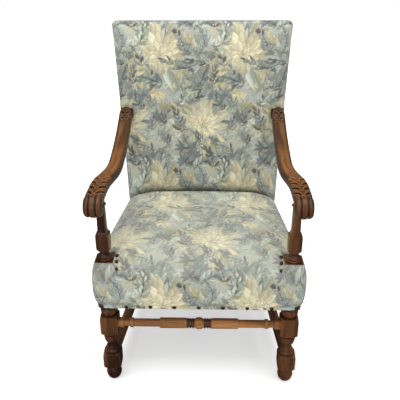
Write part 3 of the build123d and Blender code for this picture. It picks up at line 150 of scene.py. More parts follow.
def drawVerdure():
    rng = np.random.default_rng(verdure["seed"])
    wide, high = verdure["repeatX"], verdure["repeatY"]
    ink = {name: np.array(tone) for name, tone in verdure["inks"].items()}
    cloth = np.ones((high, wide, 3)) * ink["ground"]
    yy, xx = np.mgrid[0:high, 0:wide].astype(float)

    def drift(waves):  # slow wandering about 0 that repeats with the cloth
        total = np.zeros((high, wide))
        for _ in range(waves):
            i, j, lag = rng.integers(-4, 5), rng.integers(-6, 7), rng.uniform(*anyTurn)
            total += np.sin(2 * np.pi * (i * xx / wide + j * yy / high) + lag)
        return total / math.sqrt(waves)

    def petal(x, y, turn, length, width, colour, edge, tip, vein, bend, line=0.7):
        # Pointed oval: half-width = width * sin(pi * along^tip)^0.8, bent, darker at its foot, rim and rib
        reach = int(length + width + 3)
        cols = np.arange(int(x) - reach, int(x) + reach + 1)
        lines = np.arange(int(y) - reach, int(y) + reach + 1)
        dx, dy = np.meshgrid(cols - x, lines - y)
        along = (dx * math.cos(turn) + dy * math.sin(turn)) / length
        across = -dx * math.sin(turn) + dy * math.cos(turn) - bend * length * along**2
        inside = np.clip(along, 0, 1)
        half = width * np.sin(np.pi * inside**tip) ** 0.8 + 0.01
        rim = half - np.abs(across)
        cover = np.clip(rim + 0.5, 0, 1) * ((along > 0) & (along < 1))
        mark = np.clip(1.5 - rim / 1.2, 0, 1) * line
        rib = np.clip(1.1 - np.abs(across) / 0.9, 0, 1) * vein * (along < 0.75)
        foot = np.clip(1 - inside / 0.6, 0, 1)[..., None] * 0.45
        lift = 1.02 + 0.09 * np.clip(across / width, -1, 1)
        tone = (colour * (1 - foot) + (colour * 0.5 + edge * 0.5) * foot) * lift[..., None]
        mark = np.maximum(mark, rib)[..., None]
        tone = tone * (1 - mark) + edge * mark
        at = np.ix_(lines % high, cols % wide)
        cloth[at] = cloth[at] * (1 - cover[..., None]) + tone * cover[..., None]

    def lobedLeaf(x, y, turn, size, colour, edge, fingers):  # petals fanned over about 120 degrees
        leaf = verdure["leaf"]
        for k in rng.permutation(fingers):
            spread = (2 * k - fingers + 1) / (fingers - 1)
            length = size * (1 - leaf["shorter"] * abs(spread)) * rng.uniform(*leaf["length"])
            tone = colour * rng.uniform(*leaf["tone"])
            petal(x, y, turn + spread * leaf["fan"], length, size * leaf["width"], tone, edge,
                  leaf["tip"], leaf["vein"], spread * leaf["bend"])

    def sprig(x, y, turn, size, colour, edge):
        # Bent stem with slender leaves on both sides that fan towards the tip; a few end dark
        plan = verdure["sprig"]
        curl = rng.choice((-plan["curl"], plan["curl"]))
        petal(x, y, turn, size, size * plan["stem"], edge, edge, tip=1.0, vein=0, bend=curl / 2)
        for share in np.linspace(plan["first"], 1.0, plan["pairs"]):
            px = x + size * (share * math.cos(turn) - curl / 2 * share**2 * math.sin(turn))
            py = y + size * (share * math.sin(turn) + curl / 2 * share**2 * math.cos(turn))
            for side in (-1, 1):
                angle = turn + curl * share + side * (plan["fan"] - plan["close"] * share)
                angle += rng.uniform(-plan["sway"], plan["sway"])
                length = size * rng.uniform(*plan["length"]) * (1 - plan["taper"] * share)
                pale = rng.random() < plan["pale"]
                tone = colour * rng.uniform(*plan["leafTone"]) if pale else ink["plum"] * plan["dark"]
                petal(px, py, angle, length, size * rng.uniform(*plan["width"]), tone, edge,
                      plan["tip"], plan["vein"], -side * plan["bend"], plan["line"])

    def blossom(x, y, turn, size):  # rings of petals from the outermost in, longer towards the heading
        plan = verdure["blossom"]
        for count, reach, width, light in verdure["rings"]:
            lean = rng.uniform(*anyTurn)
            for k in rng.permutation(count):
                angle = lean + fullTurn * k / count + rng.uniform(-plan["stray"], plan["stray"])
                length = size * reach * rng.uniform(*plan["length"])
                length *= 1 + plan["heading"] * math.cos(angle - turn)
                mix = rng.uniform(0, plan["strawMost"]) ** plan["strawPower"]
                colour = (ink["cream"] * (1 - mix) + ink["straw"] * mix) * light * rng.uniform(*plan["tone"])
                if reach > plan["mistFrom"] and rng.random() < plan["mistChance"]:
                    colour = colour * plan["kept"] + ink["mist"] * plan["mist"]
                sage = rng.random() < plan["sageChance"]
                edge = ink["sage"] * plan["sageEdge"] if sage else ink["olive"] * plan["oliveEdge"]
                petal(x, y, angle, length, size * width * rng.uniform(*plan["width"]), colour, edge,
                      plan["tip"], plan["vein"], rng.uniform(-plan["bend"], plan["bend"]), plan["line"])

    def scatter(plan, edgeOf):  # lobed leaves anywhere on the repeat
        for k in range(plan["count"]):
            tone = ink[plan["inks"][k % len(plan["inks"])]]
            place = rng.uniform(0, wide), rng.uniform(0, high), rng.uniform(*plan["heading"])
            size = rng.uniform(*plan["size"])
            edge = (tone if edgeOf is None else edgeOf) * plan["edge"]
            lobedLeaf(*place, size, tone * rng.uniform(*plan["tone"]), edge, plan["fingers"])

    def fromFlower(x, y, flower):  # shortest distance on the repeating cloth, in flower sizes
        dx = (x - flower[0] + wide / 2) % wide - wide / 2
        dy = (y - flower[1] + high / 2) % high - high / 2
        return math.hypot(dx, dy) / flower[2]

    cloth += drift(verdure["groundWaves"])[..., None] * (ink["mist"] - ink["straw"]) * verdure["groundDrift"]
    scatter(verdure["undergrowth"], None)
    scatter(verdure["foliage"], ink["plum"])
    plan = verdure["collar"]
    for x, y, size, turn in verdure["flowers"]:
        for k in range(plan["count"]):  # leaves that the blossom rests on
            tone = ink[plan["inks"][k % len(plan["inks"])]] * rng.uniform(*plan["tone"])
            lean = fullTurn * k / plan["count"] + rng.uniform(-plan["stray"], plan["stray"])
            petal(x, y, lean, size * rng.uniform(*plan["length"]), size * plan["width"], tone,
                  tone * plan["edge"], plan["tip"], plan["vein"], rng.uniform(-plan["bend"], plan["bend"]))
        blossom(x, y, turn, size)
    plan = verdure["sprig"]
    cols, rows, stray = plan["cols"], plan["rows"], plan["stray"]
    for k in range(cols * rows):  # dark sprigs between the blossoms, rooted on a loose lattice
        x = (k % cols + 0.5 * (k // cols % 2)) * wide / cols + rng.uniform(-stray, stray)
        y = (k // cols) * high / rows + rng.uniform(-stray, stray)
        if min(fromFlower(x, y, flower) for flower in verdure["flowers"]) > plan["clear"]:
            tone = ink["slate"] if k % 3 else ink["sage"] * plan["sage"]
            turn, size = rng.uniform(*plan["heading"]), rng.uniform(*plan["size"])
            sprig(x, y, turn, size, tone * rng.uniform(*plan["tone"]), ink["plum"])
    cloth *= (1 + verdure["mottle"] * drift(verdure["mottleWaves"]))[..., None]
    return np.clip(cloth, 0, 1)


def sampleVerdure(cloth, u, v):
    # Bilinear reading of the repeat at cloth coordinates in mm, turned from display to linear light
    high, wide = cloth.shape[:2]
    x0, y0 = np.floor(u).astype(int), np.floor(v).astype(int)
    fx, fy = (u - x0)[..., None], (v - y0)[..., None]
    top = cloth[y0 % high, x0 % wide] * (1 - fx) + cloth[y0 % high, (x0 + 1) % wide] * fx
    low = cloth[(y0 + 1) % high, x0 % wide] * (1 - fx) + cloth[(y0 + 1) % high, (x0 + 1) % wide] * fx
    shown = top * (1 - fy) + low * fy
    return np.where(shown <= 0.04045, shown / 12.92, ((shown + 0.055) / 1.055) ** 2.4)


def clothColours(uv, pattern):  # the design laid on a piece's cloth map, shifted by pattern
    return sampleVerdure(cloth, uv[..., 0] + pattern[0], -(uv[..., 1] + pattern[1]))


cloth = drawVerdure()
print("cloth design drawn")


# What both pads share: how square their edges and how soft their corners are, and the cloth simulation
padding = dict(
    squareness=2.5, softPower=5, addedPower=55, grip=1.4, coarser=4, frames=20, quality=5, mass=0.3,
    stiffness=15, bending=0.5,
)


def padProfile(lower, reach, rise):
    # Side line as given, then a squared quarter circle that runs inwards by reach and out by rise
    turn = np.linspace(0, np.pi / 2, 400)
    power = 2 / padding["squareness"]
    inward = lower[-1, 0] - reach * (1 - np.clip(np.cos(turn), 0, 1) ** power)
    crown = np.stack([inward, lower[-1, 1] + rise * np.sin(turn) ** power], 1)
    line = np.concatenate([lower, crown[1:]])
    return runLength(line), line[:, 0], line[:, 1]


def gridCounts(length, half, step):  # rows and columns that the coarser grid of the simulation divides
    coarser = padding["coarser"]
    return coarser * int(length / step / coarser) + 1, 2 * coarser * int(half / step / coarser) + 1


def largerDrop(first, second, full):
    # The larger of two drops, with a soft corner near the top and a sharp one further down
    most = np.maximum(np.maximum(first, second), 1e-6)
    power = padding["softPower"] + padding["addedPower"] * (most / full) ** 3
    return most * ((first / most) ** power + (second / most) ** power) ** (1 / power)


def roundCorner(a, b, x, y, sense):  # points a and b deep in a square plan corner move onto a circle
    corner = (a > 0) & (b > 0)
    shrunk = np.where(corner, np.maximum(a, b) / (np.hypot(a, b) + 1e-9), 1)
    x = np.where(corner, np.sign(x) * (np.abs(x) - a * (1 - shrunk)), x)
    return x, np.where(corner, y + sense * b * (1 - shrunk), y)


def cubicSpread(fine, coarse):
    # Matrix that carries coarse grid values to fine places with Catmull-Rom weights
    at = np.linspace(0, coarse - 1, fine)
    base = np.clip(np.floor(at).astype(int), 0, coarse - 2)
    f = at - base
    weights = np.stack([-0.5 * f + f**2 - 0.5 * f**3, 1 - 2.5 * f**2 + 1.5 * f**3,
                        0.5 * f + 2 * f**2 - 1.5 * f**3, -0.5 * f**2 + 0.5 * f**3], 1)
    matrix = np.zeros((fine, coarse))
    for k in range(4):
        np.add.at(matrix, (np.arange(fine), np.clip(base + k - 1, 0, coarse - 1)), weights[:, k])
    return matrix


def inflate(points, pinned, pad):
    # Cloth simulation on a coarser grid: the free part starts shrunk, swells, and the move is capped
    step = padding["coarser"]
    coarse = points[::step, ::step]
    free = 1 - pinned[::step, ::step]
    normal = np.cross(np.gradient(coarse, axis=1), np.gradient(coarse, axis=0))
    normal /= np.linalg.norm(normal, axis=-1, keepdims=True) + 1e-9
    start = coarse - normal * (pad["shrink"] * free)[..., None]
    blank = gridMesh("padBlank", start)
    group = blank.vertex_groups.new(name="nailed")
    held = np.round(1 - free.ravel(), 1)
    for level in np.unique(held):
        group.add(np.nonzero(held == level)[0].tolist(), float(level), "REPLACE")
    modifier = blank.modifiers.new("cloth", "CLOTH")
    settings = modifier.settings
    settings.quality = padding["quality"]
    settings.mass = padding["mass"]
    settings.tension_stiffness = settings.compression_stiffness = padding["stiffness"]
    settings.bending_stiffness = padding["bending"]
    settings.use_pressure = True
    settings.uniform_pressure_force = pad["pressure"]
    settings.vertex_group_mass = "nailed"
    settings.effector_weights.gravity = 0
    modifier.collision_settings.use_collision = False
    scene = bpy.context.scene
    for number in range(1, padding["frames"] + 1):
        scene.frame_set(number)
    shape = blank.evaluated_get(bpy.context.evaluated_depsgraph_get()).data
    co = np.zeros(len(shape.vertices) * 3)
    shape.vertices.foreach_get("co", co)
    co = co.reshape(start.shape) * 1000
    co[..., 1] -= chair["shiftY"]
    move = co - start
    length = np.linalg.norm(move, axis=-1, keepdims=True) + 1e-9
    move *= np.minimum(length, pad["cap"]) / length
    bpy.data.objects.remove(blank)
    scene.frame_set(1)
    change = start + move - coarse
    byRow, byCol = (cubicSpread(points.shape[k], coarse.shape[k]) for k in (0, 1))
    return points + np.einsum("ri,ijk,cj->rck", byRow, change, byCol)


def cutRound(points, boxes):
    # Cuts the cloth at columns (low and high of the first two axes) and at their mirror images: near points
    # slide to the column's side, quads inside it go
    inside = np.full(points.shape[:2], -1e9)
    for lowX, highX, lowY, highY in boxes + [(-high, -low, *rest) for low, high, *rest in boxes]:
        x, y = points[..., 0], points[..., 1]
        gaps = np.stack([x - lowX, highX - x, y - lowY, highY - y], -1)
        depth, side = gaps.min(-1), gaps.argmin(-1)
        near = np.abs(depth) < padding["grip"]
        target = np.array([lowX, highX, lowY, highY])[side]
        points[..., 0] = np.where(near & (side < 2), target, x)
        points[..., 1] = np.where(near & (side >= 2), target, y)
        inside = np.maximum(inside, np.where(near, 0, depth))
    deep = inside > 0
    return points, deep[:-1, :-1] | deep[1:, :-1] | deep[:-1, 1:] | deep[1:, 1:]


# Heights count from the rail's lower edge, those named Level from the floor; shoulderRear and crownRear
# count from the frame's rear
seatPad = dict(
    step=2.6, zTop=188.9, hem=4.9, hemZ=0.6, under=-0.4, bulge=14.9, bulgeFrom=13.0, bulgeZ=88.0, reach=165.0,
    round=40.0, pressure=4.0, shrink=4.0, cap=9.0, pattern=(40, 95),
    rearLine=((-2.0, -0.4), (2.6, -0.4), (3.2, 0.6), (3.2, 120.0), (0.0, 132.0), (-10.0, 138.0),
              (-52.0, 140.0), (-60.0, 145.0), (-64.0, 155.0), (-66.5, 168.0), (-71.0, 179.0), (-80.0, 186.0)),
    rearEnd=-95.0,
    shoulder=19.0, shoulderAt=28.0, shoulderY=(60, 190), shoulderRear=(-105, -65),
    crown=6.0, crownHalf=210.0, crownY=(120, 330), crownRear=(-80, -60),
    pinHem=(18, 60), pinPost=(3, 26), pinRear=(405, 425), postGap=1.0, cutGap=0.8,
    liftLevel=(405, 425), holdFront=15.0, holdInner=3.5, holdOuter=7.0,
    nailGap=1.5, nailFade=5.0, nailBehind=60.0,
    flush=0.8, flushFade=9.0, flushFrom=400.0,
    fold=7.0, foldX=285.0, foldHalf=24.0, foldFade=9.0, foldLevel=420.0, foldHigh=24.0, foldAhead=-25.0,
    paling=0.24, palingTone=(0.56, 0.56, 0.47), palingLevel=(395, 440),
)


def seatShape():
    # Cloth grid from hem to hem: across, x runs on the side profile; along, y runs on the front and rear
    # profiles; height is the top less the larger of the two drops, and plan corners go from square to circle
    top, hem, bulge, bulgeZ, under = (seatPad[key] for key in ("zTop", "hem", "bulge", "bulgeZ", "under"))
    turn = np.linspace(0, np.pi / 2, 60)
    sideZ = seatPad["bulgeFrom"] + (bulgeZ - seatPad["bulgeFrom"]) * (1 - np.cos(turn))
    side = np.stack([hem + (bulge - hem) * np.sin(turn), sideZ], 1)
    lower = np.concatenate([[[-2.0, under], [hem - 0.7, under], [hem, seatPad["hemZ"]], [hem, 6.0]], side])
    run, out, height = padProfile(lower, seatPad["reach"], top - bulgeZ)
    rear = np.array([*seatPad["rearLine"], (seatPad["rearEnd"], top)])
    rearRun = runLength(rear)
    even = np.linspace(0, rearRun[-1], 300)
    kernel = np.hanning(17) / np.hanning(17).sum()
    rearOut, rearUp = (np.convolve(np.pad(np.interp(even, rearRun, rear[:, k]), 8, "edge"), kernel, "valid")
                       for k in (0, 1))
    rearRun = runLength(np.stack([rearOut, rearUp], 1))
    flatStart, flatEnd = chair["frontY"] - out[-1], chair["rearY"] + rearOut[-1]
    depth = run[-1] + flatEnd - flatStart + rearRun[-1]
    rows, cols = gridCounts(depth, sideLine(0.0) + out[-1] + run[-1], seatPad["step"])
    q = np.linspace(0, depth, rows)
    fromRear = depth - q
    y = np.where(q < run[-1], chair["frontY"] - np.interp(q, run, out), flatStart + q - run[-1])
    y = np.where(fromRear < rearRun[-1], chair["rearY"] + np.interp(fromRear, rearRun, rearOut), y)
    dropY = np.where(q < run[-1], top - np.interp(q, run, height), 0)
    dropY = np.where(fromRear < rearRun[-1], top - np.interp(fromRear, rearRun, rearUp), dropY)
    y, dropY, q = (np.repeat(v[:, None], cols, 1) for v in (y, dropY, q))
    width = sideLine(y) + out[-1] + run[-1]
    p = width * np.linspace(-1, 1, cols)[None]
    s = width - np.abs(p)
    x = np.sign(p) * np.where(s < run[-1], sideLine(y) + np.interp(s, run, out), np.abs(p))
    dropX = np.where(s < run[-1], top - np.interp(s, run, height), 0)
    z = np.maximum(top - largerDrop(dropX, dropY, top), under)
    inward = np.maximum(sideLine(y) + bulge - np.abs(x), 0) / seatPad["shoulderAt"]
    full = seatPad["shoulder"] * inward * np.exp(1 - inward) * smooth(*seatPad["shoulderY"], y)
    full = full * (1 - smooth(*seatPad["shoulderRear"], y - chair["rearY"]))
    crown = seatPad["crown"] * np.clip(1 - (x / seatPad["crownHalf"]) ** 2, 0, 1)
    crown = crown * smooth(*seatPad["crownY"], y) * (1 - smooth(*seatPad["crownRear"], y - chair["rearY"]))
    z = np.where(z > bulgeZ, np.minimum(z + full, top) + crown, z)
    edge = np.interp(z, lower[2:, 1], lower[2:, 0])  # how far the side stands out at each point's own height
    turnedIn = np.where(dropX > dropY, np.interp(s, run, out), np.interp(q, run, out))
    edge = np.where(z < seatPad["hemZ"], np.minimum(hem, turnedIn), edge)
    y = np.maximum(y, chair["frontY"] - edge)
    x = np.sign(x) * np.minimum(np.abs(x), sideLine(y) + edge)
    a = seatPad["round"] - (sideLine(y) + edge - np.abs(x))
    b = seatPad["round"] - (y - chair["frontY"] + edge)
    x, y = roundCorner(a, b, x, y, 1)
    sideways = smooth(-6, 6, dropX - dropY)
    u = x + (p - x) * sideways
    v = q + (y - flatStart + run[-1] - q) * sideways
    return np.stack([x, y, z + chair["railZ"]], -1), np.stack([u, v], -1)


def makeSeat():
    points, uv = seatShape()
    x, y = np.abs(points[..., 0]), points[..., 1]
    rows, cols = (np.arange(count) for count in x.shape)
    fromHem = np.minimum(rows[:, None], np.minimum(cols, cols[::-1])[None]) * seatPad["step"]
    fromPost = np.maximum(np.abs(x - chair["postX"]), np.abs(y)) - chair["postHalf"]
    pinned = np.maximum(1 - smooth(*seatPad["pinHem"], fromHem), 1 - smooth(*seatPad["pinPost"], fromPost))
    pinned = np.maximum(pinned, smooth(*seatPad["pinRear"], y))
    points = inflate(points, pinned, seatPad)
    gap = np.maximum(fromPost - seatPad["postGap"], 0)
    lift = np.maximum(chair["blockTop"] - 1.0 - points[..., 2], 0)
    lift = lift * smooth(*seatPad["liftLevel"], points[..., 2])
    hold = np.where(x < seatPad["foldX"], seatPad["holdInner"], seatPad["holdOuter"])
    hold = np.where(-y > np.abs(x - chair["postX"]), seatPad["holdFront"], hold)
    points[..., 2] += lift * np.exp(-gap / hold)  # pulled up against the front posts
    press = np.maximum(points[..., 2] - chair["blockTop"] - seatPad["nailGap"], 0)
    press = press * np.exp(-gap / seatPad["nailFade"])
    points[..., 2] -= press * (y < seatPad["nailBehind"])  # and down where it is nailed behind them
    flush = np.maximum(sideLine(y), chair["postOuter"]) + seatPad["flush"]
    spare = np.maximum(np.abs(points[..., 0]) - flush, 0) * (y > seatPad["flushFrom"])
    spare = spare * np.exp(-np.maximum(chair["rearPostY"] - y, 0) / seatPad["flushFade"])
    points[..., 0] -= np.sign(points[..., 0]) * spare  # turned in against the rear posts
    aside = np.maximum(np.abs(x - seatPad["foldX"]) - seatPad["foldHalf"], 0) / seatPad["foldFade"]
    above = (points[..., 2] - seatPad["foldLevel"]) / seatPad["foldHigh"]
    swell = seatPad["fold"] * np.exp(-(aside**2) - above**2)
    points[..., 1] -= swell * (y < seatPad["foldAhead"])  # full over the front nails, which its fold hides
    half = chair["postHalf"] + seatPad["cutGap"]
    frontPost = (chair["postX"] - half, chair["postX"] + half, -half, half)
    rearPost = (chair["rearPostX"], 500.0, chair["rearPostY"], 700.0)
    points, drop = cutRound(points, [frontPost, rearPost])
    paledShare = seatPad["paling"] * smooth(*seatPad["palingLevel"], points[..., 2])[..., None]  # paler and greyer towards the top of the seat
    colours = clothColours(uv, seatPad["pattern"]) * (1 - paledShare) + np.array(seatPad["palingTone"]) * paledShare
    return gridMesh("seatCushion", points, uv, drop, colours=colours)


backPad = dict(
    step=2.6, low=80.1, depth=46.9, stand=8.9, wrap=1.2, reach=135.0, round=18.0, middleUp=380.0,
    pressure=4.0, shrink=3.0, cap=7.0, pattern=(75, 20),
    tuck=36.0, tuckX=(185, 245), tuckUp=(0, 120), tuckT=(-14, 16), pinT=(14, 40), pinArm=(4, 24),
    armDepth=54.0, armHalf=20.0, dip=3.0, dipFade=5.0, slotBelow=21.5, slotAbove=13.0, slotGap=0.5,
    seam=0.6, seamT=1.0, seamHalf=1.8,
)


def backShape():
    # Same grid as the seat's in the plane of the back: straight round the frame, crowned towards the sitter
    face, stand = chair["postFace"], backPad["stand"]
    rearT = -face - backPad["wrap"]
    lower = np.array([(2.0, rearT), (stand - 0.7, rearT), (stand, -face - 0.4), (stand, face)])
    run, out, height = padProfile(lower, backPad["reach"], backPad["depth"])
    top = height[-1]
    upLow, upHigh = backPad["low"] + stand, chair["backLength"]
    length = 2 * run[-1] + (upHigh + out[-1]) - (upLow - out[-1])
    rows, cols = gridCounts(length, postOuter(backPad["middleUp"]) + out[-1] + run[-1], backPad["step"])
    q = np.linspace(0, length, rows)
    fromTop = length - q
    up = np.where(q < run[-1], upLow - np.interp(q, run, out), upLow - out[-1] + q - run[-1])
    up = np.where(fromTop < run[-1], upHigh + np.interp(fromTop, run, out), up)
    dropUp = np.where(q < run[-1], top - np.interp(q, run, height), 0)
    dropUp = np.where(fromTop < run[-1], top - np.interp(fromTop, run, height), dropUp)
    up, dropUp, q = (np.repeat(v[:, None], cols, 1) for v in (up, dropUp, q))
    width = postOuter(up) + out[-1] + run[-1]
    p = width * np.linspace(-1, 1, cols)[None]
    s = width - np.abs(p)
    x = np.sign(p) * np.where(s < run[-1], postOuter(up) + np.interp(s, run, out), np.abs(p))
    dropX = np.where(s < run[-1], top - np.interp(s, run, height), 0)
    t = np.maximum(top - largerDrop(dropX, dropUp, top + face), rearT)
    a = backPad["round"] - (postOuter(up) + stand - np.abs(x))
    above, below = backPad["round"] - (upHigh + stand - up), backPad["round"] - (up - backPad["low"])
    x, up = roundCorner(a, above, x, up, -1)
    x, up = roundCorner(a, below, x, up, 1)
    sideways = smooth(-4, 4, dropX - dropUp)
    u = x + (p - x) * sideways
    v = q + (up - upLow + out[-1] + run[-1] - q) * sideways
    low = smooth(*backPad["tuckX"], np.abs(x)) * (1 - smooth(*backPad["tuckUp"], up - backPad["low"]))
    up = up - backPad["tuck"] * low * smooth(*backPad["tuckT"], t)  # lower corners, tucked behind the seat
    return np.stack([x, up, t], -1), np.stack([u, v], -1)


def makeBack():
    local, uv = backShape()
    x, up, t = np.abs(local[..., 0]), local[..., 1], local[..., 2]
    face, armX, armHalf, armUp = chair["postFace"], armPlan["rearX"], armPlan["rearWidth"] / 2, armMeetsBack()
    fromArm = np.maximum(np.abs(x - armX) - armHalf, np.abs(up - armUp) - backPad["armHalf"])
    pinned = np.maximum(1 - smooth(*backPad["pinT"], t), 1 - smooth(*backPad["pinArm"], fromArm))
    points = fromBack(*np.moveaxis(local, -1, 0))
    points = inflate(points, pinned, backPad)
    dip = backPad["dip"] * np.exp(-np.maximum(fromArm, 0) / backPad["dipFade"]) * (t > face + 2)
    points -= dip[..., None] * np.array([0, -math.cos(chair["recline"]), math.sin(chair["recline"])])
    local = np.stack([points[..., 0], *toBack(points[..., 1], points[..., 2])], -1)
    half = armHalf + backPad["slotGap"]
    slot = (armX - half, armX + half, armUp - backPad["slotBelow"], armUp + backPad["slotAbove"])
    local, drop = cutRound(local, [slot])
    drop &= local[:-1, :-1, 2] > face
    points = fromBack(*np.moveaxis(local, -1, 0))
    # dark seam along the top
    seam = np.exp(-((t - face - backPad["seamT"]) / backPad["seamHalf"]) ** 2) * (up > chair["backLength"])
    colours = clothColours(uv, backPad["pattern"]) * (1 - backPad["seam"] * seam[..., None])
    return gridMesh("backCushion", points, uv, drop, colours=colours)


armPlan = dict(
    rearX=268.0, frontX=295.0, rearWidth=46.0, frontWidth=54.0, swayFront=30.0, swayRear=215.0, levelEnd=90.0,
    arc=880.0, top=696.0, thick=36.0, scrollY=-47.5, scrollR=33.0, squareness=3.6, around=120, pitch=1.7,
    scrollFrom=270, scrollPitch=2.6, sweepEnd=0.5, edgeFall=2.2, flatness=1.4,
    clothDepth=52.0, nose=28.0, noseDrop=9.0, noseNarrow=0.45,
)

# Carving: lobes are root, length and half-width; flutes run round the scroll, a spiral is cut in both cheeks
carving = dict(
    depth=3.2, lobes=((112, 50, 7.0), (146, 50, 7.5), (180, 46, 6.5), (212, 38, 5.5)), leafTip=282.0,
    upperLobes=((38, 26, 6.0), (64, 22, 5.0)), upperTip=84.0, raised=0.45, sunk=1.1, fluted=0.9,
    rib=3.0, lean=(0.80, 0.60), bend=7.0, bendAt=1.5, wall=(0.5, 3.0), lipAt=0.6, lipHalf=1.7,
    rimSlope=1.15, rimHalf=2.2, ribCut=2.6, ribHalf=1.0, shallow=0.55,
    flutesFrom=(-60, -20), flutesTo=(105, 150), fluteBow=26.0, fluteAt=0.37, fluteHalf=0.09,
    spiralDepth=2.0, spiralAt=0.93, spiralPitch=3.3, spiralHalf=1.5, eye=5.0,
)


# Painted shade, wax and wear on the arms: how much painted shade darkens each stretch, with wax in the
# carving, how much the crests and the top's middle are rubbed and painted lighter, and the stretches along or
# across the arm where each comes and goes
armWear = dict(
    spiralShade=0.8, frontShade=0.45, frontTo=(-30, 175), rearShade=0.40, rearTo=(20, 110), edgeShade=0.3,
    edgeFrom=(0.72, 0.98), fluteCrest=0.15, rearCrest=0.4, crestFrom=(100, 170),
    rubbedFrom=(170, 270), rubbedTo=(390, 500), rubbedLoss=0.75, rubbedEdge=(0.5, 0.98),
)


def armMeetsBack():  # height up the back where the arm's middle line reaches the cloth
    angle = np.linspace(0.2, 0.54, 400)
    radius = armPlan["arc"] + armPlan["thick"] / 2
    z = armPlan["top"] + armPlan["arc"] - radius * np.cos(angle)
    up, t = toBack(armPlan["levelEnd"] + radius * np.sin(angle), z)
    return float(np.interp(-backPad["armDepth"], -t, up))


def carvedLeaf(a, span, lobes, tip, sense):
    # Lobes are pointed hollows that sweep along and outwards from the middle rib, bent like a crescent, each
    # inside a raised lip; two cuts beside the rib and a rim that closes to a point finish the leaf
    k = carving
    hollow = np.zeros(np.broadcast(a, span).shape)
    lip = np.zeros_like(hollow)
    for root, length, wide in lobes:
        ahead, aside = sense * (a - root), span - k["rib"]
        share = (ahead * k["lean"][0] + aside * k["lean"][1]) / length
        bow = k["bend"] * (share - 0.5) ** 2 - k["bendAt"]
        off = np.abs(aside * k["lean"][0] - ahead * k["lean"][1] - bow)
        half = wide * np.sin(np.pi * np.clip(share, 0, 1) ** 0.8)
        within = (share > 0) & (share < 1)
        hollow = np.maximum(hollow, smooth(*k["wall"], half - off) * within)
        lip = np.maximum(lip, np.exp(-((off - half - k["lipAt"]) / k["lipHalf"]) ** 2) * within)
    first = lobes[0][0] + min(sense, 0) * lobes[0][1]
    rim = np.exp(-((tip - a - k["rimSlope"] * span) / k["rimHalf"]) ** 2) * (a > first)
    rib = np.exp(-((span - k["ribCut"]) / k["ribHalf"]) ** 2)
    rib = rib * smooth(first - 10, first + 20, a) * (1 - smooth(tip - 20, tip - 6, a))
    return np.maximum(hollow * (1 - lip), k["shallow"] * np.maximum(rim, rib)), lip


def armPath():
    # Top line of the arm, its inward normal and its depth: round the scroll, level, then up one long arc
    k = armPlan
    scroll = np.radians(np.arange(k["scrollFrom"], 0, -k["scrollPitch"]))
    level = np.arange(k["scrollY"], k["levelEnd"], k["pitch"])
    sweep = np.arange(0, k["sweepEnd"], k["pitch"] / k["arc"])
    scrollY = k["scrollY"] - k["scrollR"] * np.sin(scroll)
    scrollZ = k["top"] - k["scrollR"] + k["scrollR"] * np.cos(scroll)
    arcY, arcZ = k["levelEnd"] + k["arc"] * np.sin(sweep), k["top"] + k["arc"] * (1 - np.cos(sweep))
    y = np.concatenate([scrollY, level, arcY])
    z = np.concatenate([scrollZ, np.full_like(level, k["top"]), arcZ])
    ny = np.concatenate([np.sin(scroll), np.zeros_like(level), np.sin(sweep)])
    nz = np.concatenate([-np.cos(scroll), -np.ones_like(level), -np.cos(sweep)])
    half = k["thick"] / 2
    keep = toBack(y + ny * half, z + nz * half)[1] > chair["postFace"] + 1.0
    return scroll, *(v[keep] for v in (y, z, ny, nz))


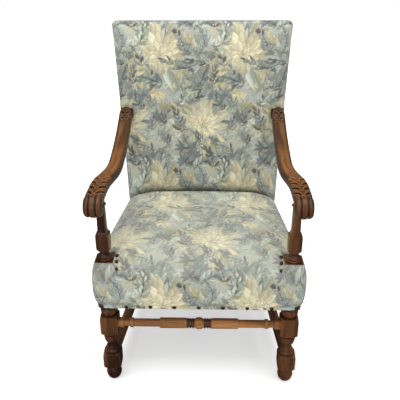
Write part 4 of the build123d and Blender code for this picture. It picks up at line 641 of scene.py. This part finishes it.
def armSurface():
    # A squared oval profile carried along the arm's top line, wider and further out at the front
    k, cut, wear = armPlan, carving, armWear
    scroll, y, z, ny, nz = armPath()
    turns = len(scroll)
    thick = np.where(np.arange(len(y)) < turns, k["scrollR"], k["thick"])
    tau = np.linspace(0, 1, 200)
    between = (k["swayFront"] + k["swayRear"]) / 2
    swayY = k["swayRear"] * (1 - tau) ** 3 + 3 * between * tau * (1 - tau) + k["swayFront"] * tau**3
    blend = np.interp(y, swayY[::-1], (3 * tau**2 - 2 * tau**3)[::-1])
    blend[:turns] = 1
    middle = k["rearX"] + (k["frontX"] - k["rearX"]) * blend
    width = k["rearWidth"] + (k["frontWidth"] - k["rearWidth"]) * blend
    # unit profile, evenly spaced by length
    fine = np.linspace(0, 2 * np.pi, 4001)
    power = 2 / k["squareness"]
    ox, ot = (np.sign(v) * np.abs(v) ** power for v in (np.cos(fine), np.sin(fine)))
    run = runLength(np.stack([ox * k["flatness"], ot], 1))
    at = np.linspace(0, run[-1], k["around"], endpoint=False)
    ox, ot = np.interp(at, run, ox), np.interp(at, run, ot)
    across = ox[None] * width[:, None] / 2
    depth = (1 - ot)[None] / 2 * thick[:, None] + k["edgeFall"] * (np.abs(ox) ** 3 * (ot > 0))[None]
    # the rear end turns down and narrows into the back's cloth
    nose = np.clip(1 - (toBack(y, z)[1] - k["clothDepth"]) / k["nose"], 0, 1)
    turnIn = 1 - np.sqrt(1 - nose**2)
    depth = depth + (k["noseDrop"] * turnIn)[:, None] * smooth(-0.4, 0.9, ot)[None]
    across = across * (1 - k["noseNarrow"] * turnIn)[:, None]
    # carving on the upper face: distance along from the scroll's underside, and mm across
    along = runLength(np.stack([y, z], 1))
    along = along - np.interp(np.pi, scroll[::-1], along[:turns][::-1])
    a, share, toEnd = along[:, None], np.abs(np.clip(ox, -1, 1))[None], along[-1] - along[:, None]
    upper = smooth(0.45, 0.85, ot)[None]
    flute = smooth(*cut["flutesFrom"], a) * (1 - smooth(*cut["flutesTo"], a + cut["fluteBow"] * share))
    grooves = flute * np.exp(-((share - cut["fluteAt"]) / cut["fluteHalf"]) ** 2)
    span = np.abs(across)
    hollow, lip = carvedLeaf(a, span, cut["lobes"], cut["leafTip"], 1)
    hollowTop, lipTop = carvedLeaf(toEnd - k["nose"], span, cut["upperLobes"], cut["upperTip"], -1)
    hollow, lip = np.maximum(hollow, hollowTop), np.maximum(lip, lipTop)
    carve = cut["depth"] * (cut["raised"] * lip - cut["sunk"] * hollow - cut["fluted"] * grooves) * upper
    depth = depth - carve
    # spiral groove on both cheeks of the scroll
    py, pz = y[:, None] + ny[:, None] * depth, z[:, None] + nz[:, None] * depth
    dy, dz = py - k["scrollY"], pz - (k["top"] - k["scrollR"])
    radius, turn = np.hypot(dy, dz), np.arctan2(-dy, dz) % (2 * np.pi)
    groove = np.zeros_like(radius)
    for lap in range(3):
        full = turn + 2 * np.pi * lap - 1.5 * np.pi
        line = k["scrollR"] * cut["spiralAt"] - cut["spiralPitch"] * full
        groove += np.where(full > -0.2, np.exp(-((radius - line) / cut["spiralHalf"]) ** 2), 0)
    cheek = smooth(0.80, 0.97, np.abs(ox))[None] * (radius < k["scrollR"] * 1.02) * (radius > cut["eye"])
    spiral = np.clip(groove, 0, 1) * cheek
    across = across - np.sign(across) * cut["spiralDepth"] * spiral
    points = np.stack([middle[:, None] + across, py, pz], -1)
    # painted shade, with dark wax in the carved hollows and the spiral, also darkens the scroll's underside,
    # the upper end and the sides; crests are rubbed and painted lighter as highlight; the middle of the top,
    # where hands have rubbed it, is painted lighter as lit
    shadeAndWax = np.clip(-carve / cut["depth"], 0, 1) + wear["spiralShade"] * spiral
    shadeAndWax = shadeAndWax + wear["frontShade"] * (1 - smooth(*wear["frontTo"], a))
    shadeAndWax = shadeAndWax + wear["rearShade"] * (1 - smooth(*wear["rearTo"], toEnd))
    sides = smooth(*wear["edgeFrom"], share) * smooth(-1, 0.2, ot)[None]
    shadeAndWax = shadeAndWax + wear["edgeShade"] * sides * (1 - lip)
    # crests lightened: rubbed wear and painted highlight
    crest = np.clip(lip + wear["fluteCrest"] * flute * (1 - grooves), 0, 1) * upper * (1 - hollow)
    crest = crest * (wear["rearCrest"] + (1 - wear["rearCrest"]) * smooth(*wear["crestFrom"], toEnd))
    # top's middle lightened: hand wear and painted light on the lit top
    rubbed = smooth(*wear["rubbedFrom"], a) * (1 - wear["rubbedLoss"] * smooth(*wear["rubbedTo"], a))
    rubbed = rubbed * smooth(-0.4, 0.7, ot)[None] * (1 - smooth(*wear["rubbedEdge"], share))
    grain = np.stack([np.repeat(a, len(ox), 1), np.repeat(at[None] * 20, len(y), 0)], -1)
    return points, grain, dict(shadeAndWax=np.clip(shadeAndWax, 0, 1), crest=crest, rubbed=rubbed)


def makeArms():
    points, grain, marks = armSurface()
    for side, sign in (("Left", -1), ("Right", 1)):
        shape = points * np.array([sign, 1, 1])
        yield gridMesh("carvedArm" + side, shape, grain, closed=True, flip=sign > 0, values=marks)


# Cloth nailed on the rear of the back
outerCloth = dict(low=92.0, over=6.5, lift=1.7, dish=1.4, pattern=(150, -60), rows=204, cols=190,
                  thick=0.0012)


def makeOuterBack():
    # Flat cloth on the rear of the frame that dishes slightly between its nailed edges
    up = np.linspace(outerCloth["low"], chair["backLength"] + outerCloth["over"], outerCloth["rows"])[:, None]
    share = np.linspace(-1, 1, outerCloth["cols"])[None]
    x = share * (postOuter(up) + outerCloth["over"])
    rise = (up - up[0]) / (up[-1] - up[0])
    dish = outerCloth["dish"] * (1 - share**4) * (1 - (2 * rise - 1) ** 4)
    t = -chair["postFace"] - outerCloth["lift"] + dish
    up = np.broadcast_to(up, x.shape)
    uv = np.stack([x, up], -1)
    colours = clothColours(uv, outerCloth["pattern"])
    piece = gridMesh("outsideBackCloth", fromBack(x, up, t), uv, colours=colours, flip=True)
    wide = 2 * (postOuter(up[:, 0]) + outerCloth["over"])
    return piece, float(wide.mean()), float(up[-1, 0] - up[0, 0])


# Cloth under the webbing, passing between the legs
lining = dict(front=-4.0, rear=483.0, inset=22.0, frontHalf=254.0, frontLegs=(29, 34), rearHalf=213.0,
              rearLegs=(456, 461), below=5.5, sag=5.0, rows=190, cols=180, thick=0.001)


def makeUnderCloth():
    # The seat's plan drawn in, and narrower where it passes the legs, sagging like a shallow bowl
    y = np.linspace(lining["front"], lining["rear"], lining["rows"])[:, None]
    wide = sideLine(y) - lining["inset"]
    atFront, atRear = 1 - smooth(*lining["frontLegs"], y), smooth(*lining["rearLegs"], y)
    wide = wide - (wide - lining["frontHalf"]) * atFront - (wide - lining["rearHalf"]) * atRear
    share = np.linspace(-1, 1, lining["cols"])[None]
    x = share * wide
    depth = (y - y[0]) / (y[-1] - y[0])
    sag = lining["sag"] * (1 - share**2) * (1 - (2 * depth - 1) ** 2)
    points = np.stack([x, np.broadcast_to(y, x.shape), chair["railZ"] - lining["below"] - sag], -1)
    piece = gridMesh("underSeatCloth", points, points[..., :2].copy(), flip=True)
    return piece, float(2 * wide.mean()), float(y[-1, 0] - y[0, 0])


seatCushion = makeSeat()
print("seat:", len(seatCushion.data.polygons), "quads")
backCushion = makeBack()
print("back:", len(backCushion.data.polygons), "quads")
armLeft, armRight = makeArms()
print("arms:", len(armLeft.data.polygons), "quads each")
outerBack, outerWide, outerLong = makeOuterBack()
underCloth, underWide, underLong = makeUnderCloth()
for piece, thick in ((outerBack, outerCloth["thick"]), (underCloth, lining["thick"])):
    solid = piece.modifiers.new("thickness", "SOLIDIFY")
    solid.thickness, solid.offset = thick, -1
print("outer cloths")

for piece, slot, replaced in (
        (seatCushion, "cover_cloth", ("seat_cover", "seat_cover_rear", "seat_stuffing")),
        (backCushion, "cover_cloth", ("back_cover", "back_stuffing")),
        (armLeft, "arm_wood", ("arm_left",)), (armRight, "arm_wood", ("arm_right",)),
        (outerBack, "cover_cloth", ("back_outside_panel",)),
        (underCloth, "dust_cloth", ("seat_dust_cover",))):
    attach(piece, "root")
    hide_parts(*replaced)


def newGroup(name, inputs, outputs):
    group = bpy.data.node_groups.new(name, "ShaderNodeTree")
    for label, kind, value in inputs:
        socket = group.interface.new_socket(label, in_out="INPUT", socket_type="NodeSocket" + kind)
        if value is not None:
            socket.default_value = value
    for label, kind in outputs:
        group.interface.new_socket(label, in_out="OUTPUT", socket_type="NodeSocket" + kind)
    return group, group.nodes.new("NodeGroupInput"), group.nodes.new("NodeGroupOutput")


def addNode(tree, kind, **settings):
    node = tree.nodes.new("ShaderNode" + kind)
    for key, value in settings.items():
        setattr(node, key, value)
    return node


def fillSockets(tree, node, values):  # plain values are set, sockets are linked
    for slot, value in values:
        if isinstance(value, (int, float, tuple)):
            node.inputs[slot].default_value = value
        else:
            tree.links.new(value, node.inputs[slot])


def addMath(tree, operation, *values, clamp=False):
    node = addNode(tree, "Math", operation=operation, use_clamp=clamp)
    fillSockets(tree, node, enumerate(values))
    return node.outputs[0]


def addGain(tree, value, gain, offset, clamp=False):
    return addMath(tree, "MULTIPLY_ADD", value, gain, offset, clamp=clamp)


def addMix(tree, factor, first, second, blend="MIX"):
    node = addNode(tree, "Mix", data_type="RGBA", blend_type=blend)
    fillSockets(tree, node, ((0, factor), (6, first), (7, second)))
    return node.outputs[2]


def addScaled(tree, vector, scale):
    node = addNode(tree, "VectorMath", operation="MULTIPLY")
    fillSockets(tree, node, ((0, vector), (1, (scale, scale, scale))))
    return node.outputs[0]


def addNoise(tree, vector, scale, detail=4.0, rough=0.55, distortion=0.0):
    node = addNode(tree, "TexNoise")
    fillSockets(tree, node, (("Vector", vector), ("Scale", scale), ("Detail", detail), ("Roughness", rough),
                             ("Distortion", distortion)))
    return node.outputs[0]


def addNook(tree, distance, **settings):  # how open the surface is within a distance in metres
    node = addNode(tree, "AmbientOcclusion", samples=8, **settings)
    node.inputs["Distance"].default_value = distance
    return node.outputs["AO"]


# Waxed wood: pairs are the gain and offset that turn noise into a mask; distances in metres
grainPlan = dict(
    poreScale=4, figureScale=0.25, fibreShare=0.6, figureShare=0.4, tone=(2.6, -0.8), rub=(3.2, -1.35),
    # convex edges are lightened as worn polish and painted highlight
    pit=(-5.0, 2.35), pitShare=0.55, pitTone=(0.012, 0.007, 0.004), edgeWearAndGlint=(-2.4, 1.8), edgeGlintSize=0.005,
    # nooks and grooves are darkened with painted shade, standing also for wax held there
    nookShade=(-2.1, 1.8), nookShadeSize=0.014, nookShadeTone=(0.006, 0.003, 0.002), rough=(0.22, 0.25), pitRough=0.2,
    relief=0.5,
)


def buildWoodGrain():
    # Long fibres from stretched noise, pores, broad figure, convex edges lightened as worn polish and painted
    # highlight, and painted shade in nooks that stands also for wax
    k = grainPlan
    group, enter, leave = newGroup(
        "woodGrain",
        [("Vector", "Vector", None), ("Dark", "Color", (0.02, 0.01, 0.006, 1)),
         ("Light", "Color", (0.1, 0.04, 0.015, 1)), ("Worn", "Color", (0.2, 0.09, 0.03, 1)),
         ("Wear", "Float", 0.3), ("NookShadeShare", "Float", 0.8)],
        [("Color", "Color"), ("Roughness", "Float"), ("Height", "Float")])
    vector, dark, light, worn, wear, nookShadeShare = (
        enter.outputs[key] for key in ("Vector", "Dark", "Light", "Worn", "Wear", "NookShadeShare"))

    def times(first, second):
        return addMath(group, "MULTIPLY", first, second)

    fibre = addNoise(group, vector, 1.0, 6, 0.6, 0.3)
    pores = addNoise(group, addScaled(group, vector, k["poreScale"]), 1.0, 3, 0.7)
    figure = addNoise(group, addScaled(group, vector, k["figureScale"]), 1.0, 2, 0.5, 0.8)
    tone = addMath(group, "ADD", times(fibre, k["fibreShare"]), times(figure, k["figureShare"]))
    base = addMix(group, addGain(group, tone, *k["tone"], clamp=True), dark, light)
    rubbed = addGain(group, figure, *k["rub"], clamp=True)
    base = addMix(group, times(rubbed, wear), base, worn)
    pit = addGain(group, pores, *k["pit"], clamp=True)
    base = addMix(group, times(pit, k["pitShare"]), base, (*k["pitTone"], 1))
    # painted highlight and worn polish: convex edges found by ambient occlusion turn towards the worn colour
    edgeWearAndGlint = addNook(group, k["edgeGlintSize"], only_local=True, inside=True)
    edge = addGain(group, edgeWearAndGlint, *k["edgeWearAndGlint"], clamp=True)
    base = addMix(group, times(edge, wear), base, worn)
    # painted shade: nooks and grooves found by ambient occlusion darken towards a near-black tone, standing
    # also for wax
    nookShadeMask = addGain(group, addNook(group, k["nookShadeSize"], only_local=True), *k["nookShade"], clamp=True)
    base = addMix(group, times(nookShadeMask, nookShadeShare), base, (*k["nookShadeTone"], 1))
    rough = addMath(group, "ADD", addGain(group, fibre, *k["rough"]), times(pit, k["pitRough"]))
    height = addMath(group, "SUBTRACT", times(fibre, k["relief"]), pit)
    fillSockets(group, leave, (("Color", base), ("Roughness", rough), ("Height", height)))
    return group


weavePlan = dict(pitch=0.0014, warpShare=0.6, ridgeShade=(0.16, 0.86), slubScale=260.0, slubShade=(0.3, -0.15))


def buildRibWeave():
    # Rib weave: crossed sine ridges along the cloth's own map, with uneven yarn
    group, enter, leave = newGroup(
        "ribWeave", [("Vector", "Vector", None), ("Pitch", "Float", weavePlan["pitch"])],
        [("Shade", "Float"), ("Height", "Float"), ("Slub", "Float")])
    vector = enter.outputs["Vector"]
    split = addNode(group, "SeparateXYZ")
    group.links.new(vector, split.inputs[0])
    rate = addMath(group, "DIVIDE", 6.2832, enter.outputs["Pitch"])
    weft = addMath(group, "SINE", addMath(group, "MULTIPLY", split.outputs[0], rate))
    warpRate = addMath(group, "MULTIPLY", rate, weavePlan["warpShare"])
    warp = addMath(group, "SINE", addMath(group, "MULTIPLY", split.outputs[1], warpRate))
    ridge = addGain(group, addMath(group, "MULTIPLY", weft, warp), 0.5, 0.5)
    slub = addNoise(group, vector, weavePlan["slubScale"], 3, 0.6)
    shade = addGain(group, ridge, *weavePlan["ridgeShade"])
    shade = addMath(group, "ADD", shade, addGain(group, slub, *weavePlan["slubShade"]))
    fillSockets(group, leave, (("Shade", shade), ("Height", ridge), ("Slub", slub)))
    return group


woodGrain, ribWeave = buildWoodGrain(), buildRibWeave()


def newMaterial(name):
    material = bpy.data.materials.new(name)
    material.use_nodes = True
    return material, material.node_tree, material.node_tree.nodes["Principled BSDF"]


def addBump(tree, height, strength, distance, shader):
    bump = addNode(tree, "Bump")
    fillSockets(tree, bump, (("Strength", strength), ("Distance", distance), ("Height", height)))
    tree.links.new(bump.outputs[0], shader.inputs["Normal"])


def addGrain(tree, vector, look):  # grain stretched along the piece, in the look's own colours
    mapping = addNode(tree, "Mapping")
    fillSockets(tree, mapping, (("Vector", vector), ("Scale", look["stretch"])))
    grain = addNode(tree, "Group", node_tree=woodGrain)
    fillSockets(tree, grain, (("Vector", mapping.outputs[0]), ("Wear", look["wear"]),
                              *((key.title(), (*look[key], 1)) for key in ("dark", "light", "worn"))))
    return grain


def addPolish(tree, shader, tone, grain, gloss):
    fillSockets(tree, shader, (("Base Color", tone), ("Roughness", grain.outputs["Roughness"]),
                               ("Specular IOR Level", gloss["specular"]), ("Coat Weight", gloss["coat"]),
                               ("Coat Roughness", gloss["coatRough"])))
    addBump(tree, grain.outputs["Height"], gloss["bump"], gloss["relief"], shader)


# Colours of the waxed wood, by piece; stretch is the grain's scale along x, y and z
woods = dict(
    postWalnut=dict(stretch=(70, 70, 7), dark=(0.011, 0.0034, 0.0012), light=(0.060, 0.0185, 0.0046),
                    worn=(0.28, 0.105, 0.028), wear=0.7),
    railWalnut=dict(stretch=(7, 70, 70), dark=(0.020, 0.007, 0.003), light=(0.085, 0.032, 0.011),
                    worn=(0.16, 0.07, 0.025), wear=0.3),
    honeyBar=dict(stretch=(8, 80, 80), dark=(0.11, 0.036, 0.009), light=(0.40, 0.160, 0.043),
                  worn=(0.60, 0.28, 0.09), wear=0.8,
                  band=(0.0155, 0.0395), bandTone=(0.03, 0.012, 0.005), bandShare=0.85),
    sideBar=dict(stretch=(80, 8, 80), dark=(0.022, 0.008, 0.003), light=(0.13, 0.05, 0.016),
                 worn=(0.25, 0.11, 0.035), wear=0.5),
    beechBlock=dict(stretch=(50, 50, 12), dark=(0.17, 0.09, 0.04), light=(0.34, 0.21, 0.11),
                    worn=(0.40, 0.26, 0.14), wear=0.3),
)
woodGloss = dict(specular=0.3, coat=0.14, coatRough=0.12, bump=0.25, relief=0.0004)


def makeWood(name):
    look = woods[name]
    material, tree, shader = newMaterial(name)
    place = addNode(tree, "TexCoord").outputs["Object"]
    grain = addGrain(tree, place, look)
    tone = grain.outputs["Color"]
    if "band" in look:  # darker band over the ribbed sections on both sides of the bead
        split = addNode(tree, "SeparateXYZ")
        tree.links.new(place, split.inputs[0])
        out = addMath(tree, "ABSOLUTE", split.outputs["X"])
        past = addMath(tree, "GREATER_THAN", out, look["band"][0])
        inside = addMath(tree, "MULTIPLY", past, addMath(tree, "LESS_THAN", out, look["band"][1]))
        darkened = addMath(tree, "MULTIPLY", inside, look["bandShare"])
        tone = addMix(tree, darkened, tone, (*look["bandTone"], 1))
    addPolish(tree, shader, tone, grain, woodGloss)
    return material


armWood = dict(
    stretch=(9, 90, 90), dark=(0.022, 0.0075, 0.003), light=(0.105, 0.038, 0.012), worn=(0.22, 0.09, 0.028),
    wear=0.6, honeyGain=(3.0, 3.3, 2.7), crestTone=(0.40, 0.165, 0.048), crestShare=0.75,
    shadeWaxTone=(0.006, 0.003, 0.002), shadeWaxPower=1.2, shadeWaxShare=0.94,
    specular=0.25, coat=0.16, coatRough=0.12, bump=0.2, relief=0.0004,
)


def makeArmWood():
    # Grain follows the arm's own map; carved hollows hold dark wax and painted shade, which also darkens the
    # scroll's underside, the upper end and the sides; crests are rubbed to orange and painted lighter as
    # highlight; the rubbed middle of the top is painted lighter as lit
    material, tree, shader = newMaterial("carvedArmWood")
    grain = addGrain(tree, addNode(tree, "UVMap", uv_map="clothMap").outputs[0], armWood)
    crest, shadeAndWax, rubbed = (addNode(tree, "Attribute", attribute_name=mark).outputs["Fac"]
                             for mark in ("crest", "shadeAndWax", "rubbed"))
    # the rubbed middle of the top goes to honey: hand wear and painted light
    honey = addMix(tree, 1.0, grain.outputs["Color"], (*armWood["honeyGain"], 1), "MULTIPLY")
    tone = addMix(tree, rubbed, grain.outputs["Color"], honey)
    # crests turn towards orange: rubbed wear and painted highlight
    crested = addMath(tree, "MULTIPLY", crest, armWood["crestShare"])
    tone = addMix(tree, crested, tone, (*armWood["crestTone"], 1))
    # painted shade, with wax in the carving, mixes towards a near-black tone
    hollow = addMath(tree, "POWER", shadeAndWax, armWood["shadeWaxPower"])
    darkened = addMath(tree, "MULTIPLY", hollow, armWood["shadeWaxShare"])
    tone = addMix(tree, darkened, tone, (*armWood["shadeWaxTone"], 1))
    addPolish(tree, shader, tone, grain, armWood)
    return material


tapestry = dict(
    stainScale=9.0, stain=(0.24, 0.88), creaseSize=0.03, crease=(-1.1, 1.0), creaseShadeTone=(0.05, 0.045, 0.035),
    rough=(0.2, 0.72), sheen=0.12, specular=0.25, bump=0.35, relief=0.0004,
)


def makeTapestry():
    # The drawn design under rib weave, faint stains, and painted shade in the creases
    material, tree, shader = newMaterial("floralTapestry")
    place = addNode(tree, "UVMap", uv_map="clothMap").outputs[0]
    weave = addNode(tree, "Group", node_tree=ribWeave)
    tree.links.new(place, weave.inputs["Vector"])
    drawn = addNode(tree, "Attribute", attribute_name="clothColour")
    stain = addGain(tree, addNoise(tree, place, tapestry["stainScale"], 3, 0.5), *tapestry["stain"])
    shade = addMath(tree, "MULTIPLY", weave.outputs["Shade"], stain)
    tone = addMix(tree, 1.0, drawn.outputs["Color"], shade, "MULTIPLY")
    # painted shade: the cloth darkens by ambient occlusion where the seat, back and arms meet
    creaseShade = addGain(tree, addNook(tree, tapestry["creaseSize"]), *tapestry["crease"], clamp=True)
    tone = addMix(tree, creaseShade, tone, (*tapestry["creaseShadeTone"], 1))
    rough = addGain(tree, weave.outputs["Slub"], *tapestry["rough"])
    fillSockets(tree, shader, (("Base Color", tone), ("Roughness", rough), ("Sheen Weight", tapestry["sheen"]),
                               ("Specular IOR Level", tapestry["specular"])))
    addBump(tree, weave.outputs["Height"], tapestry["bump"], tapestry["relief"], shader)
    return material


# Plain cloths: the yarn's darker and lighter colour, and the weave's pitch in metres
plainCloths = dict(
    juteWebbing=((0.22, 0.15, 0.08), (0.36, 0.26, 0.15), 0.003),
    hessianCanvas=((0.30, 0.23, 0.14), (0.45, 0.36, 0.24), 0.0022),
    blackLining=((0.012, 0.012, 0.013), (0.035, 0.034, 0.034), 0.0012),
)
clothSurface = dict(rough=(0.2, 0.75), bump=0.4, relief=0.0006)


def makePlainCloth(name):
    dark, light, pitch = plainCloths[name]
    material, tree, shader = newMaterial(name)
    weave = addNode(tree, "Group", node_tree=ribWeave)
    fillSockets(tree, weave, (("Vector", addNode(tree, "TexCoord").outputs["Object"]), ("Pitch", pitch)))
    tone = addMix(tree, weave.outputs["Slub"], (*dark, 1), (*light, 1))
    tone = addMix(tree, 1.0, tone, weave.outputs["Shade"], "MULTIPLY")
    rough = addGain(tree, weave.outputs["Slub"], *clothSurface["rough"])
    fillSockets(tree, shader, (("Base Color", tone), ("Roughness", rough)))
    addBump(tree, weave.outputs["Height"], clothSurface["bump"], clothSurface["relief"], shader)
    return material


# Metals: tarnished and bright colour
metals = dict(
    darkBronzeNail=((0.025, 0.017, 0.011), (0.13, 0.085, 0.045)),
    springSteel=((0.10, 0.09, 0.085), (0.34, 0.33, 0.31)),
)
metalSurface = dict(scale=140.0, patch=(3.0, -1.0), rough=(-0.15, 0.5), metallic=(0.2, 0.7), bump=0.15,
                    relief=0.0003)


def makeMetal(name):
    dark, light = metals[name]
    material, tree, shader = newMaterial(name)
    place = addNode(tree, "TexCoord").outputs["Object"]
    tarnish = addNoise(tree, place, metalSurface["scale"], 4, 0.6)
    patch = addGain(tree, tarnish, *metalSurface["patch"], clamp=True)
    fillSockets(tree, shader, (("Base Color", addMix(tree, patch, (*dark, 1), (*light, 1))),
                               ("Roughness", addGain(tree, patch, *metalSurface["rough"])),
                               ("Metallic", addGain(tree, patch, *metalSurface["metallic"]))))
    addBump(tree, tarnish, metalSurface["bump"], metalSurface["relief"], shader)
    return material


makers = ((woods, makeWood), (plainCloths, makePlainCloth), (metals, makeMetal))
finishes = {name: make(name) for kinds, make in makers for name in kinds}
finishOf = dict(  # by how the nodes' names start; the longest match counts
    front_post="postWalnut", rear_post="postWalnut", frame_pegs="postWalnut", arm_pegs="postWalnut",
    seat_rail="railWalnut", back_rail="railWalnut", rear_stretcher="railWalnut", front_stretcher="honeyBar",
    side_stretcher="sideBar", corner_block="beechBlock", corner_block_screws="springSteel",
    arm_screws="springSteel", seat_springs="springSteel", seat_webbing="juteWebbing",
    back_webbing="juteWebbing", seat_canvas="hessianCanvas", back_canvas="hessianCanvas",
    seat_nails="darkBronzeNail", post_nails="darkBronzeNail", back_nails="darkBronzeNail",
)


def dress(piece, material):
    piece.data.materials.clear()
    piece.data.materials.append(material)


for name, node in nodes.items():
    kinds = [kind for kind in finishOf if name.startswith(kind)]
    if kinds:
        dress(node, finishes[finishOf[max(kinds, key=len)]])
for pieces, material in (
        ((seatCushion, backCushion, outerBack), makeTapestry()), ((armLeft, armRight), makeArmWood()),
        ((underCloth,), finishes["blackLining"])):
    for piece in pieces:
        dress(piece, material)
print("materials on")

studio = dict(
    camera=(0.04159, -1.791396, 1.40341), yaw=-1.77, pitch=26.21, roll=-0.35, lens=53.11,
    shift=(0.0086, 0.008), world=0.55, mirror=0.12, floorSize=6.0, floorLight=(0.95, 0.95, 0.95),
    floorShade=(0.92, 0.92, 0.92), floorMirror=(0.07, 0.06, 0.05), floorGlow=0.38, farGlow=0.6,
    farFrom=(0.45, -0.35),
    lights=(  # name, place, aim, power, size
        ("keyLight", (-1.6, -2.2, 2.6), (0, 0, 0.6), 17.0, 2.2),
        ("fillLight", (2.2, -1.6, 1.8), (0, 0, 0.6), 9.0, 2.0),
        ("lowLight", (-0.5, -2.8, 1.0), (0, 0, 0.35), 9.0, 1.2),
        ("topLight", (0.0, -0.4, 3.4), (0, 0, 0.5), 72.0, 3.0),
    ),
)


def addToScene(name, data):
    thing = bpy.data.objects.new(name, data)
    bpy.context.scene.collection.objects.link(thing)
    return thing


def setFloor():  # pale floor that brightens to white far off, and looks dim in the polish
    size = studio["floorSize"]
    mesh = bpy.data.meshes.new("studioFloor")
    corners = [(-size, -size, 0), (size, -size, 0), (size, size, 0), (-size, size, 0)]
    mesh.from_pydata(corners, [], [(0, 1, 2, 3)])
    floor = addToScene("studioFloor", mesh)
    material, tree, shader = newMaterial("paleFloor")
    place = addNode(tree, "TexCoord").outputs["Object"]
    ray = addNode(tree, "LightPath")
    haze = addNoise(tree, place, 3.0, 2)
    pale = addMix(tree, haze, (*studio["floorShade"], 1), (*studio["floorLight"], 1))
    pale = addMix(tree, ray.outputs["Is Glossy Ray"], pale, (*studio["floorMirror"], 1))
    away = addNode(tree, "VectorMath", operation="LENGTH")
    tree.links.new(place, away.inputs[0])
    far = addGain(tree, away.outputs["Value"], *studio["farFrom"], clamp=True)
    glow = addGain(tree, far, studio["farGlow"], studio["floorGlow"])
    glow = addMath(tree, "MULTIPLY", glow, ray.outputs["Is Camera Ray"])
    fillSockets(tree, shader, (("Base Color", pale), ("Roughness", 0.9), ("Emission Color", (1, 1, 1, 1)),
                               ("Emission Strength", glow)))
    dress(floor, material)


def setLight():  # white wall for the camera, a dimmer room in the polish, and four soft lamps
    world = bpy.data.worlds.new("studioWorld")
    world.use_nodes = True
    room = world.node_tree
    ray = addNode(room, "LightPath")
    level = addGain(room, ray.outputs["Is Glossy Ray"], studio["mirror"] - studio["world"], studio["world"])
    level = addMath(room, "MAXIMUM", level, ray.outputs["Is Camera Ray"])
    fillSockets(room, room.nodes["Background"], (("Color", (1, 1, 1, 1)), ("Strength", level)))
    bpy.context.scene.world = world
    for name, place, aim, power, size in studio["lights"]:
        light = bpy.data.lights.new(name, "AREA")
        light.energy, light.size = power, size
        lamp = addToScene(name, light)
        lamp.location = place
        lamp.rotation_euler = (Vector(aim) - Vector(place)).to_track_quat("-Z", "Y").to_euler()


def setCamera():
    yaw, pitch, roll = (math.radians(studio[k]) for k in ("yaw", "pitch", "roll"))
    forward = Vector((math.sin(yaw) * math.cos(pitch), math.cos(yaw) * math.cos(pitch), -math.sin(pitch)))
    right = forward.cross(Vector((0, 0, 1))).normalized()
    up = right.cross(forward)
    turned = right * math.cos(roll) + up * math.sin(roll)
    up = up * math.cos(roll) - right * math.sin(roll)
    lens = bpy.data.cameras.new("photoCamera")
    lens.lens, lens.sensor_width = studio["lens"], 36.0
    lens.shift_x, lens.shift_y = studio["shift"]
    camera = addToScene("photoCamera", lens)
    turn = Matrix((turned, up, -forward)).transposed().to_4x4()
    camera.matrix_world = Matrix.Translation(studio["camera"]) @ turn
    bpy.context.scene.camera = camera


setFloor()
setLight()
setCamera()
bpy.context.scene.view_settings.view_transform = "Standard"
print("stage and camera set")
